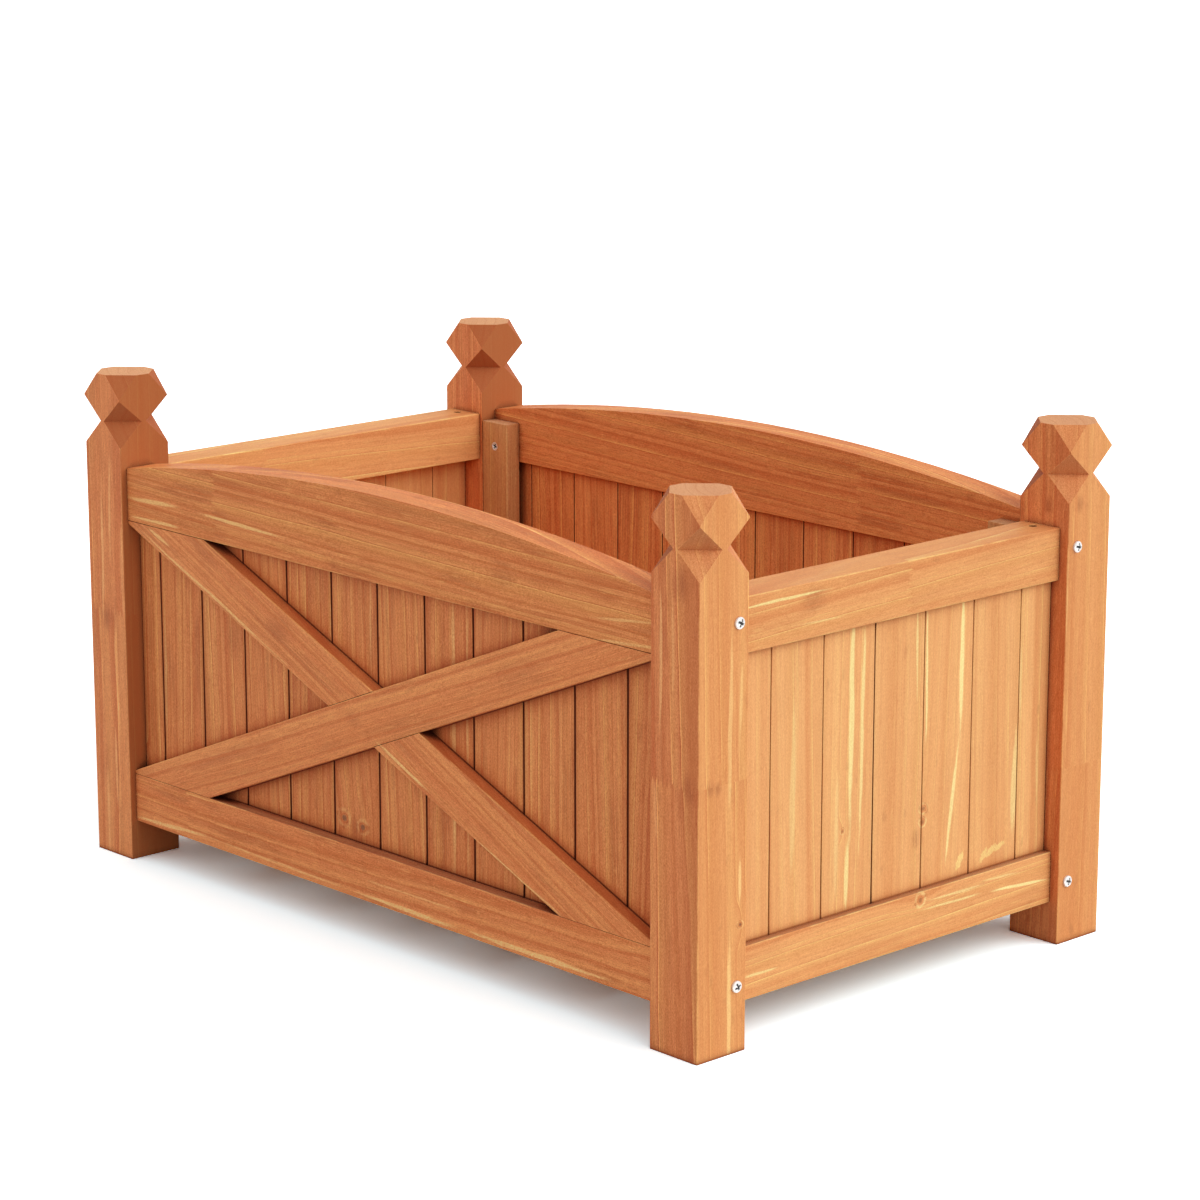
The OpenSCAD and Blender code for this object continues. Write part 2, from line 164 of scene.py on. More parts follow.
# The way the grain runs in each finish, to draw its knots out along it.
GRAIN_WAY = {
    "post_wood": (0, 0, 1), "side_rail_wood": (1, 0, 0), "end_rail_wood": (0, 1, 0),
    "brace_wood": (1, 0, 0), "side_board_wood": (0, 0, 1), "end_board_wood": (0, 0, 1),
    "inner_wood": (0, 1, 0),
}

# How boldly the grain shows in each finish. On posts it shows more on the faces along the long sides.
BOLD = {
    "side_rail_wood": 1.75, "side_board_wood": 1.75, "brace_wood": 1.65, "end_rail_wood": 0.90,
    "end_board_wood": 0.75, "inner_wood": 1.2,
}
POST_BOLD_ENDS = 0.75
POST_BOLD_SIDES = 1.50

# Pieces that took less stain than the others of their side, as factors on it.
LESS_STAIN = {"brace_wood": (1.05, 1.06, 1.07), "end_board_wood": (1.05, 1.15, 1.19)}

# End boards whose stain is lighter or darker than their neighbours', as a shift of their tint.
BOARD_TINT = {"right_board_3": 0.2, "right_board_4": -0.6, "right_board_5": 1.4, "right_board_6": -0.6,
              "right_board_7": 0.7}

# The bottom rails of the long sides took less stain too, and the ledge on every bottom rail has painted
# shade.
LOW_RAIL = 0.1
LOW_RAIL_LIFT = (1.10, 1.13, 1.20)
LEDGE_SHADE = (0.60, 0.66, 0.85)

# Noise of each feature of the wood: over how many millimetres along the grain and across it the feature
# changes, then the noise's detail and roughness.
NOISES = {
    "sweep": (240.0, 30.0, 1.0, 0.5), "ripple": (55.0, 6.0, 2.0, 0.5), "patch": (75.0, 4.5, 1.0, 0.5),
    "fibre": (20.0, 0.55, 3.0, 0.65), "dash": (17.0, 0.85, 1.0, 0.5), "cloud": (80.0, 18.0, 2.0, 0.5),
    "smudge": (24.0, 10.0, 1.5, 0.5), "waver": (55.0, 12.0, 3.0, 0.5), "fray": (24.0, 2.4, 2.0, 0.5),
    "torn": (2.0, 1.0, 2.0, 0.5), "knot": (9.0, 5.0, 1.0, 0.5), "wear": (30.0, 30.0, 2.0, 0.5),
    "mottle": (1.5, 0.75, 2.0, 0.7), "speckle": (1 / 1.3, 1 / 1.3, 2.0, 0.7),
}

# Stain in each feature, as factors on the stain of the piece. The last two are painted shade, in nooks and in
# the seams' gaps.
SHADES = {
    "dark band": (0.93, 0.85, 0.80), "light band": (1.04, 1.11, 1.12), "cloud": (0.76, 0.69, 0.67),
    "light fibre": (1.10, 1.26, 1.28), "dark fibre": (0.84, 0.70, 0.62), "new ring": (0.86, 0.70, 0.64),
    "smudge": (0.58, 0.47, 0.46), "knot wake": (0.68, 0.50, 0.42), "knot ring": (0.80, 0.58, 0.48),
    "nook": (0.56, 0.34, 0.27), "gap": (0.09, 0.05, 0.045),
}
DARK_FLECK = (0.73, 0.50, 0.40)
LIGHT_FLECK = (1.25, 1.47, 1.57)
CUT_SPECKLE = (0.74, 0.62, 0.54)
CUT_RING = (0.74, 0.56, 0.46)
ZINC_FILM = (0.86, 0.86, 0.88)
# Painted shade in the screws' cross recesses, also laid darker between the thread's ridges.
HOLLOW_DARK = (0.020, 0.018, 0.016)

# Knots of each finish: place in the frame and radius, in millimetres.
KNOTS = {
    "post_wood": [(335.0, -165.1, 88.3, 1.8), (-313.0, 204.5, 160.0, 2.2)],
    "side_rail_wood": [(50.0, 199.5, 302.0, 3.0)],
    "end_rail_wood": [(327.2, 20.4, 62.5, 3.4), (-327.2, 70.0, 50.0, 2.4)],
    "brace_wood": [(-146.8, -199.5, 164.9, 1.5)],
    "side_board_wood": [(-47.2, -189.0, 83.4, 4.4), (-25.8, -189.0, 80.8, 3.8),
                        (-289.8, -189.0, 80.0, 1.6), (265.0, 189.0, 150.0, 3.0)],
    "end_board_wood": [(320.8, 28.4, 125.6, 2.6), (320.8, 27.7, 116.0, 2.4), (320.8, -53.2, 125.9, 1.4),
                       (-320.8, -65.0, 210.0, 2.6)],
    "inner_wood": [(-120.0, 40.0, 44.0, 3.6), (110.0, -90.0, 44.0, 3.0)],
}

# Brown smudges of each finish, in the same form.
SMUDGES = {
    "post_wood": [(327.5, -204.5, 186.8, 7.0), (335.0, -193.7, 186.2, 3.8), (335.0, -186.5, 185.0, 3.2),
                  (318.2, -204.5, 320.9, 8.0), (-313.0, -204.5, 190.0, 8.0), (335.0, 170.7, 322.9, 4.0),
                  (315.7, 159.5, 320.5, 4.5)],
    "side_rail_wood": [(140.0, -199.5, 298.0, 9.0)],
    "end_rail_wood": [(327.2, -90.0, 295.0, 8.0)],
    "brace_wood": [(-105.8, -199.5, 217.0, 10.0), (-22.0, -199.5, 164.8, 6.0)],
    "side_board_wood": [(-35.3, -189.0, 79.5, 4.5), (-176.4, -189.0, 195.2, 10.0),
                        (150.0, 189.0, 120.0, 9.0)],
    "end_board_wood": [(320.8, 21.5, 105.0, 5.0)],
    "inner_wood": [(30.0, 100.0, 44.0, 12.0)],
}

# Pale lines that stand out in each finish, by the axis and level of the face that they lie on. A line has
# the other two places of both its ends and its width, in millimetres, and its strength.
PALE_LINES = {
    "post_wood": {
        ("y", -204.5): [
            (299.3, 329.0, 299.5, 210.0, 2.6, 0.70), (310.4, 326.0, 311.0, 222.0, 2.2, 0.45),
            (294.4, 193.0, 295.6, 137.8, 2.4, 0.40), (-316.0, 308.8, -319.2, 170.0, 2.8, 0.60),
            (-304.4, 327.0, -308.7, 220.8, 2.2, 0.55), (-307.9, 106.5, -308.0, 32.4, 2.8, 0.60),
            (-319.5, 87.5, -320.2, -20.0, 2.8, 0.55)],
        ("x", 335.0): [
            (-174.5, 305.0, -176.6, 154.0, 4.0, 0.45), (-164.6, 280.0, -167.0, 206.0, 2.8, 0.45),
            (-165.6, 136.1, -165.7, 98.6, 2.4, 0.70), (-175.3, 94.6, -175.3, -40.0, 4.0, 0.65),
            (159.0, 316.0, 160.0, 220.0, 2.4, 0.45)]},
    "side_rail_wood": {
        ("y", -199.5): [
            (-298.5, 286.6, -215.5, 288.4, 3.2, 0.90), (-215.3, 288.0, -89.4, 284.4, 2.5, 0.95),
            (-296.0, 271.9, -217.2, 272.7, 2.6, 0.90), (220.9, 267.7, 303.7, 274.1, 2.2, 0.60),
            (220.9, 282.6, 303.6, 290.7, 1.8, 0.60), (-302.0, 33.3, -192.3, 37.9, 3.0, 0.90),
            (-212.1, 37.7, -6.0, 34.4, 2.0, 0.60), (-34.3, 34.6, 107.0, 34.8, 3.4, 1.00),
            (78.7, 35.0, 265.0, 34.7, 3.8, 1.00), (-28.0, 46.8, 104.4, 47.4, 1.8, 0.50)]},
    "end_rail_wood": {
        ("x", 327.2): [
            (-170.4, 298.6, -67.3, 299.6, 2.2, 0.90), (-110.6, 279.8, -54.5, 278.7, 1.7, 0.40),
            (88.3, 53.2, 165.9, 48.0, 2.6, 0.95), (78.2, 62.2, 126.9, 60.3, 2.0, 0.50),
            (23.5, 60.4, 93.5, 59.3, 2.0, 0.55), (14.4, 55.1, 93.7, 53.3, 2.0, 0.65),
            (-161.1, 46.9, -115.6, 46.4, 2.2, 0.70)]},
    "brace_wood": {
        ("y", -199.5): [
            (-295.4, 271.8, -78.9, 183.1, 2.4, 0.85), (-266.8, 267.6, -233.9, 254.9, 3.0, 0.90),
            (-3.6, 156.1, 66.3, 125.2, 3.0, 1.00), (52.3, 125.4, 212.3, 63.6, 2.2, 0.95)]},
    "side_board_wood": {
        ("y", -189.0): [
            (76.3, 304.5, 76.1, 34.7, 4.2, 0.80), (91.0, 299.9, 90.0, 34.2, 2.6, 0.60),
            (-13.4, 286.7, -13.8, 187.0, 1.8, 0.55), (-259.4, 237.9, -262.2, 71.6, 2.6, 0.50)]},
    "end_board_wood": {
        ("x", 320.8): [
            (-45.1, 308.2, -46.1, 108.7, 5.2, 0.85), (-48.2, 125.6, -49.0, 63.2, 4.0, 0.80),
            (-33.3, 289.7, -36.5, 98.3, 3.4, 0.70), (28.9, 288.7, 30.1, 156.4, 2.2, 0.85),
            (18.6, 289.0, 20.1, 191.7, 2.2, 0.70), (66.0, 297.0, 65.2, 155.0, 4.4, 0.95),
            (65.4, 180.0, 51.7, 76.3, 3.6, 0.85), (125.7, 178.1, 124.0, 76.5, 6.7, 0.60),
            (147.9, 163.6, 149.7, 92.1, 2.0, 0.35), (128.1, 235.2, 129.4, 162.6, 2.4, 0.40),
            (-100.9, 243.8, -103.3, 85.7, 6.0, 0.35), (-59.1, 179.7, -59.1, 66.4, 4.0, 0.30)]},
    "inner_wood": {
        ("z", 44.0): [
            (-150.0, -40.0, -148.0, 120.0, 3.0, 0.60)]},
}

# Torn places at the foot of the end boards that took little stain: strokes in the same form, without a
# strength.
TORN = {
    "end_board_wood": {
        ("x", 320.8): [
            (64.0, 72.8, 71.0, 86.2, 5.0), (89.2, 73.8, 97.6, 83.5, 4.6),
            (94.1, 76.2, 107.2, 83.8, 4.2), (104.0, 79.3, 116.0, 84.3, 3.6)]},
}

# How much the pale lines waver, in metres, and how wide their spheroid is for their width.
WAVER = 0.0028
LINE_GIRTH = 0.62

# The end board whose seam towards the front stands open widest.
OPEN_SEAM = "right_board_4"

# What frames the boards of each side and end: the axis that they stand side by side along, the rails below
# and above them, which way marks are turned on the far side, the first three boards and the braces, then how
# dark the painted shade is in the corners and in the seams, and how fast it fades with the distance in
# millimetres.
PANELS = {
    "side_board_wood": {
        "along": 0, "below": "front_bottom_rail", "above": "front_top_rail", "turn": -1.0,
        "boards": ("front_board_01", "front_board_02", "front_board_03"),
        "braces": ("front_rising_brace", "front_falling_brace"),
        "strength": 0.38, "fade": 0.13, "seam strength": 0.36, "seam fade": 0.28},
    "end_board_wood": {
        "along": 1, "below": "right_bottom_rail", "above": "right_top_rail", "turn": 1.0,
        "boards": ("right_board_1", "right_board_2", "right_board_3"), "braces": (),
        "strength": 0.30, "fade": 0.22, "seam strength": 0.24, "seam fade": 0.9},
}

# How far the painted shade of a nook reaches, how high the wood's and the zinc's relief is and how long the
# zinc's grain is, in metres, then how glossy the rails and the other timbers are.
NOOK_REACH = 0.011
WOOD_RELIEF = 0.00018
ZINC_RELIEF = 0.00005
ZINC_GRAIN = 1 / 1400
RAIL_GLOSS = 0.12
WOOD_GLOSS = 0.20

# Splices of the finger-jointed stock: node, then the place along its length in metres.
SPLICES = {
    "front_right_post": 0.1858, "back_right_post": 0.1300, "front_left_post": 0.1950,
    "back_left_post": 0.2600, "front_top_rail": -0.1817, "back_top_rail": 0.1200,
    "right_top_rail": 0.0031, "left_top_rail": -0.0650, "front_bottom_rail": -0.2230,
    "back_bottom_rail": 0.0900,
}


# Settings that a user would change


class BedWood(bpy.types.PropertyGroup):
    end_tone: FloatVectorProperty(
        name="End stain", description="Stain on the end rails and end boards",
        subtype="COLOR", min=0, max=1, default=(0.84, 0.365, 0.136))
    # Painted tint: the side stain is redder than the end stain, standing in for the redder light on the long
    # sides.
    side_tone: FloatVectorProperty(
        name="Side stain", description="Stain on the side rails, side boards and braces",
        subtype="COLOR", min=0, max=1, default=(0.79, 0.260, 0.087))
    post_tone: FloatVectorProperty(
        name="Post stain", description="Stain on the four posts",
        subtype="COLOR", min=0, max=1, default=(0.82, 0.345, 0.122))
    inner_tone: FloatVectorProperty(
        name="Inner stain", description="Stain on the stiles, cleats and floor slats",
        subtype="COLOR", min=0, max=1, default=(0.66, 0.300, 0.120))
    line_lift: FloatVectorProperty(
        name="Pale lines", description="How much lighter than the stain the late wood's pale lines are",
        min=1, max=4, default=(1.40, 2.00, 1.95))
    # Painted tint: the posts' faces along the long sides are made redder, standing in for the redder light
    # there.
    side_shade_tint: FloatVectorProperty(
        name="Side coat", description="Second coat on the posts' faces along the long sides",
        subtype="COLOR", min=0, max=1, default=(1.0, 0.77, 0.78))
    ring_lift: FloatVectorProperty(
        name="Ring bands",
        description="How the stain warms up across a growth ring, as a lift over the stain",
        min=0.5, max=4, default=(1.07, 1.36, 1.24))
    streak_tone: FloatVectorProperty(
        name="Pale streaks", description="Late wood where it hardly took any stain, as a lift over the stain",
        min=1, max=6, default=(1.35, 2.20, 2.45))
    knot_tone: FloatVectorProperty(
        name="Knots", description="Heart of a knot",
        subtype="COLOR", min=0, max=1, default=(0.27, 0.120, 0.056))
    cut_tone: FloatVectorProperty(
        name="Cut grain", description="Sanded cross-cut faces of the finials",
        subtype="COLOR", min=0, max=1, default=(0.81, 0.435, 0.235))
    ring_gap: FloatProperty(
        name="Ring gap", description="Mean distance between two growth rings",
        unit="LENGTH", min=0.0005, max=0.02, default=0.0095)
    sheen: FloatProperty(
        name="Roughness", description="Mean roughness of the stained surface",
        subtype="FACTOR", min=0.2, max=0.9, default=0.56)


class BedEdges(bpy.types.PropertyGroup):
    long_arris: FloatProperty(
        name="Long arris", description="Radius along the edges of posts, rails and braces",
        unit="LENGTH", min=0.0001, max=0.003, default=0.0008)
    facet_arris: FloatProperty(
        name="Facet arris", description="Radius on the finials' facets and on sawn ends",
        unit="LENGTH", min=0.0001, max=0.001, default=0.00028)
    board_arris: FloatProperty(
        name="Board arris", description="Radius on the boards' thin edges",
        unit="LENGTH", min=0.0001, max=0.001, default=0.00022)
    steps: IntProperty(
        name="Steps", description="Facets across a rounded arris",
        min=1, max=6, default=3)


class BedScrews(bpy.types.PropertyGroup):
    zinc_tone: FloatVectorProperty(
        name="Zinc", description="Bright zinc on the screws",
        subtype="COLOR", min=0, max=1, default=(0.93, 0.92, 0.90))
    recess_depth: FloatProperty(
        name="Recess depth", description="Depth of the cross recess in a head",
        unit="LENGTH", min=0.0002, max=0.003, default=0.0017)
    recess_width: FloatProperty(
        name="Recess width", description="Width of one arm of the cross recess",
        unit="LENGTH", min=0.0002, max=0.003, default=0.0014)
    thread_gap: FloatProperty(
        name="Thread pitch", description="Distance between two turns of the thread",
        unit="LENGTH", min=0.001, max=0.006, default=0.0024)
    columns: IntProperty(
        name="Columns", description="Facets round a pan head screw. A countersunk one has two thirds of them",
        min=12, max=96, default=42)


class BedStage(bpy.types.PropertyGroup):
    sky_level: FloatProperty(
        name="Sky", description="Level of the even light from all round",
        min=0, max=3, default=0.74)
    side_level: FloatProperty(
        name="Side glow", description="Extra light from behind the right end",
        min=0, max=4, default=2.35)
    top_shade: FloatProperty(
        name="Top shade", description="Share of the light that is held back straight overhead",
        subtype="FACTOR", min=0, max=1, default=0.40)
    front_level: FloatProperty(
        name="Front fill", description="Extra light that reaches the long front",
        min=0, max=3, default=0.26)
    front_tone: FloatVectorProperty(
        name="Front tint", description="Tint of the light that reaches the long front",
        subtype="COLOR", min=0, max=1, default=(1.0, 0.94, 0.92))
    floor_tone: FloatVectorProperty(
        name="Floor tone", description="How white the camera sees the open floor",
        min=0, max=4, default=(1.86, 1.90, 1.92))
    shadow_tone: FloatVectorProperty(
        name="Shadow tone", description="The same beside the bed, where stained timber warms the light",
        min=0, max=4, default=(1.72, 2.04, 2.16))
    lens: FloatProperty(
        name="Focal length", description="Focal length of the camera",
        unit="CAMERA", min=20, max=300, default=109.7)


SETTINGS = {
    "bed_wood": BedWood,
    "bed_edges": BedEdges,
    "bed_screws": BedScrews,
    "bed_stage": BedStage,
}


# Shader writing


class Field:
    """A value or colour that varies over a surface. Sums and products of it add Math nodes."""

    def __init__(self, shader, socket):
        self.shader, self.socket = shader, socket

    def __add__(self, other):
        return self.shader.math("ADD", self, other)

    __radd__ = __add__

    def __sub__(self, other):
        return self.shader.math("SUBTRACT", self, other)

    def __rsub__(self, other):
        return self.shader.math("SUBTRACT", other, self)

    def __mul__(self, other):
        return self.shader.math("MULTIPLY", self, other)

    __rmul__ = __mul__

    def __truediv__(self, other):
        return self.shader.math("DIVIDE", self, other)

    def __rtruediv__(self, other):
        return self.shader.math("DIVIDE", other, self)

    def __pow__(self, other):
        return self.shader.math("POWER", self, other)

    def __rpow__(self, other):
        return self.shader.math("POWER", other, self)


class Shader:
    """Writes the nodes of one material or world. Sockets take numbers, tuples or Fields."""

    def __init__(self, owner):
        owner.use_nodes = True
        self.owner, self.tree = owner, owner.node_tree
        self.tree.nodes.clear()

    def add(self, kind, settings=None, values=None, output=0):
        """Adds a node of a kind with its settings set first, then its socket values or links. Returns one
        output."""
        node = self.tree.nodes.new(kind)
        for key, value in (settings or {}).items():
            setattr(node, key, value)
        for key, value in (values or {}).items():
            socket = node.inputs[key]
            if isinstance(value, Field):
                self.tree.links.new(value.socket, socket)
            elif isinstance(value, (int, float)):
                socket.default_value = value
            else:
                value = tuple(value)
                socket.default_value = value + (1.0,) * (len(socket.default_value) - len(value))
        return Field(self, node.outputs[output]) if node.outputs else None

    def math(self, operation, *values):
        return self.add("ShaderNodeMath", {"operation": operation}, dict(enumerate(values)))

    def vector(self, operation, *values, output=0):
        return self.add("ShaderNodeVectorMath", {"operation": operation}, dict(enumerate(values)), output)

    def scaled(self, vector, factor):
        return self.add("ShaderNodeVectorMath", {"operation": "SCALE"}, {0: vector, "Scale": factor})

    def parts(self, vector):
        first = self.add("ShaderNodeSeparateXYZ", values={0: vector})
        return [Field(self, out) for out in first.socket.node.outputs]

    def largest(self, first, *others):
        """The largest of some values."""
        for other in others:
            first = self.math("MAXIMUM", first, other)
        return first

    def fall(self, distance, rate):
        """Falls off with a distance: e to the power of minus the rate times it."""
        return self.math("EXPONENT", distance * -rate)

    def attribute(self, name, output="Fac"):
        return self.add("ShaderNodeAttribute", {"attribute_name": name}, output=output)

    def step(self, low, high, value):
        """Rises smoothly from 0 at low to 1 at high."""
        return self.add("ShaderNodeMapRange", {"interpolation_type": "SMOOTHSTEP"},
                        {"Value": value, "From Min": low, "From Max": high})

    def noise(self, place, spread, detail, roughness, output=0):
        """Noise that changes over a length along the first axis and over a width across it."""
        length, width = spread
        place = self.vector("MULTIPLY", place, (1 / length, 1 / width, 1 / width))
        return self.add("ShaderNodeTexNoise", values={
            "Vector": place, "Scale": 1.0, "Detail": detail, "Roughness": roughness}, output=output)

    def noise_line(self, place, detail=2.0, roughness=0.5):
        """Noise that varies with one value alone."""
        return self.add("ShaderNodeTexNoise", {"noise_dimensions": "1D"}, {
            "W": place, "Scale": 1.0, "Detail": detail, "Roughness": roughness})

    def mix(self, first, second, factor):
        return self.add("ShaderNodeMix", {"data_type": "RGBA", "clamp_factor": True},
                        {0: factor, 6: first, 7: second}, output=2)


def times(tone, factors):
    return tuple(min(1.0, t * f) for t, f in zip(tone, factors))


def on_face(face, first, second):
    """A place in metres, from a face's axis and level and the two other places on it in millimetres."""
    axis, level = face
    place = [first, second]
    place.insert("xyz".index(axis), level)
    return Vector(place) / MM


def box_of(node):
    """The lowest and highest corner of a CAD node, in millimetres."""
    return [[float(c) * MM for c in corner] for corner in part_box(node)]


def strip_of(node):
    """A brace seen from the front as a strip: the normal of its long edges, the offset of its middle line
    and half its width, both in millimetres."""
    work = merged_copy(node)
    longest = max(work.edges, key=lambda edge: edge.calc_length())
    run = longest.verts[1].co - longest.verts[0].co
    normal = Vector((-run.z, run.x)).normalized()
    off = np.array([normal.x * v.co.x + normal.y * v.co.z for v in work.verts]) * MM
    work.free()
    return normal, (off.min() + off.max()) / 2, (off.max() - off.min()) / 2


class StainedFir(Shader):
    """Stained fir in one finish. Growth rings are cylinders round the pith, and what the eye sees as
    grain is where a face cuts them, so pale lines run along a piece and turn into arcs on its ends. Each
    layer of colour is mixed over those before it."""

    def __init__(self, slot, tone, wood):
        finish = slot.replace("_wood", "").replace("_", " ")
        super().__init__(bpy.data.materials.new("stained fir, " + finish))
        self.slot, self.wood, self.tone = slot, wood, tone
        self.on_boards, self.on_ends = slot.endswith("board_wood"), slot.startswith("end")
        self.place = self.add("ShaderNodeTexCoord", output="Object")
        self.marked = self.near_side()
        self.cut = self.step(0.45, 0.95, self.attribute("end_grain"))
        if slot == "post_wood":
            self.long_faces = self.attribute("long_side")
            # Painted tint: faces along the long sides are redder, standing in for the redder light there.
            self.tone = self.mix(tone, times(tone, wood.side_shade_tint), self.long_faces)
            self.bold = self.long_faces * (POST_BOLD_SIDES - POST_BOLD_ENDS) + POST_BOLD_ENDS
        else:
            self.bold = BOLD[slot]
        self.pale, self.bare = self.stain(wood.line_lift), self.stain(wood.streak_tone)
        if slot in LESS_STAIN:
            self.tone = self.stain(LESS_STAIN[slot])
        self.read_rings()
        colour = self.knots(self.marks(self.ground()))
        self.finish(self.cut_ends(colour))

    def stain(self, factors):
        """The piece's stain times three factors, whether it is one colour or varies over the piece."""
        if isinstance(self.tone, Field):
            return self.vector("MULTIPLY", self.tone, factors)
        return times(self.tone, factors)

    def laid(self, colour, shade, strength):
        """A colour with a shade of the stain mixed over it."""
        return self.mix(colour, self.stain(SHADES[shade]), strength)

    def feature(self, name, output=0):
        """Noise of one feature of the wood, drawn out along the grain."""
        length, width, detail, roughness = NOISES[name]
        return self.noise(self.grain, (length, width), detail, roughness, output)

    def near_side(self):
        """The place as it is on the near long side and the right end, and turned half round on the
        opposite ones, so that marks given for the near sides also lie on the far ones."""
        x, y, _ = self.parts(self.place)
        if self.slot == "post_wood":
            far = self.math("LESS_THAN", x, 0.0) * self.math("GREATER_THAN", y, 0.0)
        elif self.on_ends:
            far = self.math("LESS_THAN", x, 0.0)
        else:
            far = self.math("GREATER_THAN", y, 0.0)
        turn = 1.0 - far * 2.0
        turns = self.add("ShaderNodeCombineXYZ", values={0: turn, 1: turn, 2: 1.0})
        return self.vector("MULTIPLY", self.place, turns)

    def nearest(self, spots, stretch):
        """Distance to the nearest of some spots, in that spot's radii, drawn out along the grain."""
        least = None
        for *centre, size in spots:
            apart = self.vector("SUBTRACT", self.place, [c / MM for c in centre])
            radii = [MM / (size * (stretch if along else 1.0)) for along in GRAIN_WAY[self.slot]]
            far = self.vector("LENGTH", self.vector("MULTIPLY", apart, radii), output=1)
            least = far if least is None else self.math("MINIMUM", least, far)
        return least

    def spheroid(self, place, start, end, width):
        """How far a place lies from the middle of a long thin spheroid between two ends. It is 1 at the
        skin."""
        run = end - start
        girth = LINE_GIRTH * width / MM
        return self.vector("LENGTH", self.add("ShaderNodeMapping", {"vector_type": "TEXTURE"}, {
            "Vector": place, "Location": (start + end) / 2, "Scale": (run.length / 2, girth, girth),
            "Rotation": run.to_track_quat("X", "Z").to_euler()}), output=1)

    def read_rings(self):
        """Ring radius = distance from the pith + slow sweep + ripple + a bulge round each knot. Across
        one ring the stain takes less and less, ends in a pale line of late wood and starts dark again.
        How strong a line is changes from ring to ring and along the grain. Past a splice the grain is
        that of another length."""
        past, finger, _ = self.parts(self.attribute("splice", "Vector"))
        fingers = self.math("PINGPONG", finger, FINGER_HALF) * FINGER_SLOPE - FINGER_MIDDLE
        past = self.math("GREATER_THAN", past + fingers, 0.0)
        self.grain = self.vector("ADD", self.attribute("grain", "Vector"), self.scaled(NEXT_LENGTH, past))
        self.tint, streaky, _ = self.parts(self.attribute("tint", "Vector"))
        self.uneven, self.cloud = self.feature("knot"), self.feature("cloud")
        self.fibre, self.dash = self.feature("fibre"), self.feature("dash")
        self.speckle = self.feature("speckle")

        _, across, deep = self.parts(self.grain)
        flow = self.nearest(KNOTS[self.slot], 3.0)
        radius = (self.math("SQRT", across * across + deep * deep) + (self.feature("sweep") - 0.5) * 5.5
                  + (self.feature("ripple") - 0.5) * 1.1 + self.fall(flow * flow, 0.14) * 5.0)
        gap = self.wood.ring_gap * MM
        self.broad = self.noise_line(radius / (gap * 1.6), detail=1.0)
        self.fine = self.noise_line(radius / (gap * 0.30) + 30.0, roughness=0.6)
        self.ring = self.math("FRACT", radius / gap + self.broad * 2.6)
        self.line = self.step(0.86, 0.95, self.ring) * self.step(1.0, 0.98, self.ring)
        self.after = self.step(0.20, 0.0, self.ring)
        strong = self.noise_line(radius / (gap * 1.1) + 70.0, detail=0.0)
        self.power = self.step(0.60, 0.88, strong * 0.78 + self.feature("patch") * 0.45 + self.fibre * 0.12
                               - self.cut * 0.20 + streaky * 0.10)

    def ground(self):
        """The stain in broad bands and clouds, then its light and dark fibres, then the rings."""
        bold, pair = self.bold, self.bold * self.bold
        colour = self.mix(self.stain(SHADES["dark band"]), self.stain(SHADES["light band"]),
                          self.step(0.30, 0.68, self.broad))
        colour = self.laid(colour, "cloud", self.step(0.46, 0.70, self.cloud) * pair * 0.34)
        colour = self.laid(colour, "light fibre", self.step(0.51, 0.70, self.fine) * pair * 0.30)
        colour = self.laid(colour, "dark fibre", self.step(0.50, 0.30, self.fine) * pair * 0.30)
        colour = self.mix(colour, self.pale, self.step(0.58, 0.74, self.dash) * bold * 0.20)
        colour = self.laid(colour, "dark fibre", self.step(0.42, 0.28, self.dash) * bold * 0.34)
        rise = self.ring * self.ring
        colour = self.mix(colour, self.stain(self.wood.ring_lift), rise * bold * (self.power * 0.55 + 0.20))
        colour = self.laid(colour, "new ring", self.after * bold * (self.power * 0.45 + 0.20))
        return self.mix(colour, self.pale, self.line * self.power * bold * 0.70)

    def marks(self, colour):
        """The colour with smudges, the single pale lines and the torn places. A pale line is a spheroid
        that wavers and frays, and whose strength rises from nothing at its skin to full at 0.55 of its
        radius."""
        given = (self.step(1.5, 0.1, self.nearest(SMUDGES[self.slot], 1.5))
                 * self.step(0.30, 0.62, self.cloud * 0.5 + self.fine * 0.5))
        smudge = self.largest(self.step(0.66, 0.82, self.feature("smudge")) * 0.5, given)
        colour = self.laid(colour, "smudge", smudge * 0.72)

        waver = self.vector("SUBTRACT", self.feature("waver", "Color"), (0.5, 0.5, 0.5))
        place = self.vector("ADD", self.marked, self.scaled(waver, WAVER))
        fray = self.feature("fray") * 0.9 + 0.6
        lines = 0.0
        for face, rows in PALE_LINES[self.slot].items():
            for *ends, width, most in rows:
                far = self.spheroid(place, on_face(face, *ends[:2]), on_face(face, *ends[2:]), width) * fray
                lines = self.largest(lines, self.step(1.0, 0.55, far) * most)
        broken = self.step(0.12, 0.44, self.fibre * 0.6 + self.dash * 0.4)
        colour = self.mix(colour, self.bare, lines * broken)

        for face, rows in TORN.get(self.slot, {}).items():
            torn = FAR_AWAY
            for *ends, width in rows:
                stroke = self.spheroid(self.marked, on_face(face, *ends[:2]), on_face(face, *ends[2:]), width)
                torn = self.math("MINIMUM", torn, stroke)
            torn = torn + (self.feature("torn") - 0.5) * 1.7
            colour = self.mix(colour, self.pale, self.step(1.0, 0.80, torn) * 0.7)
        return colour

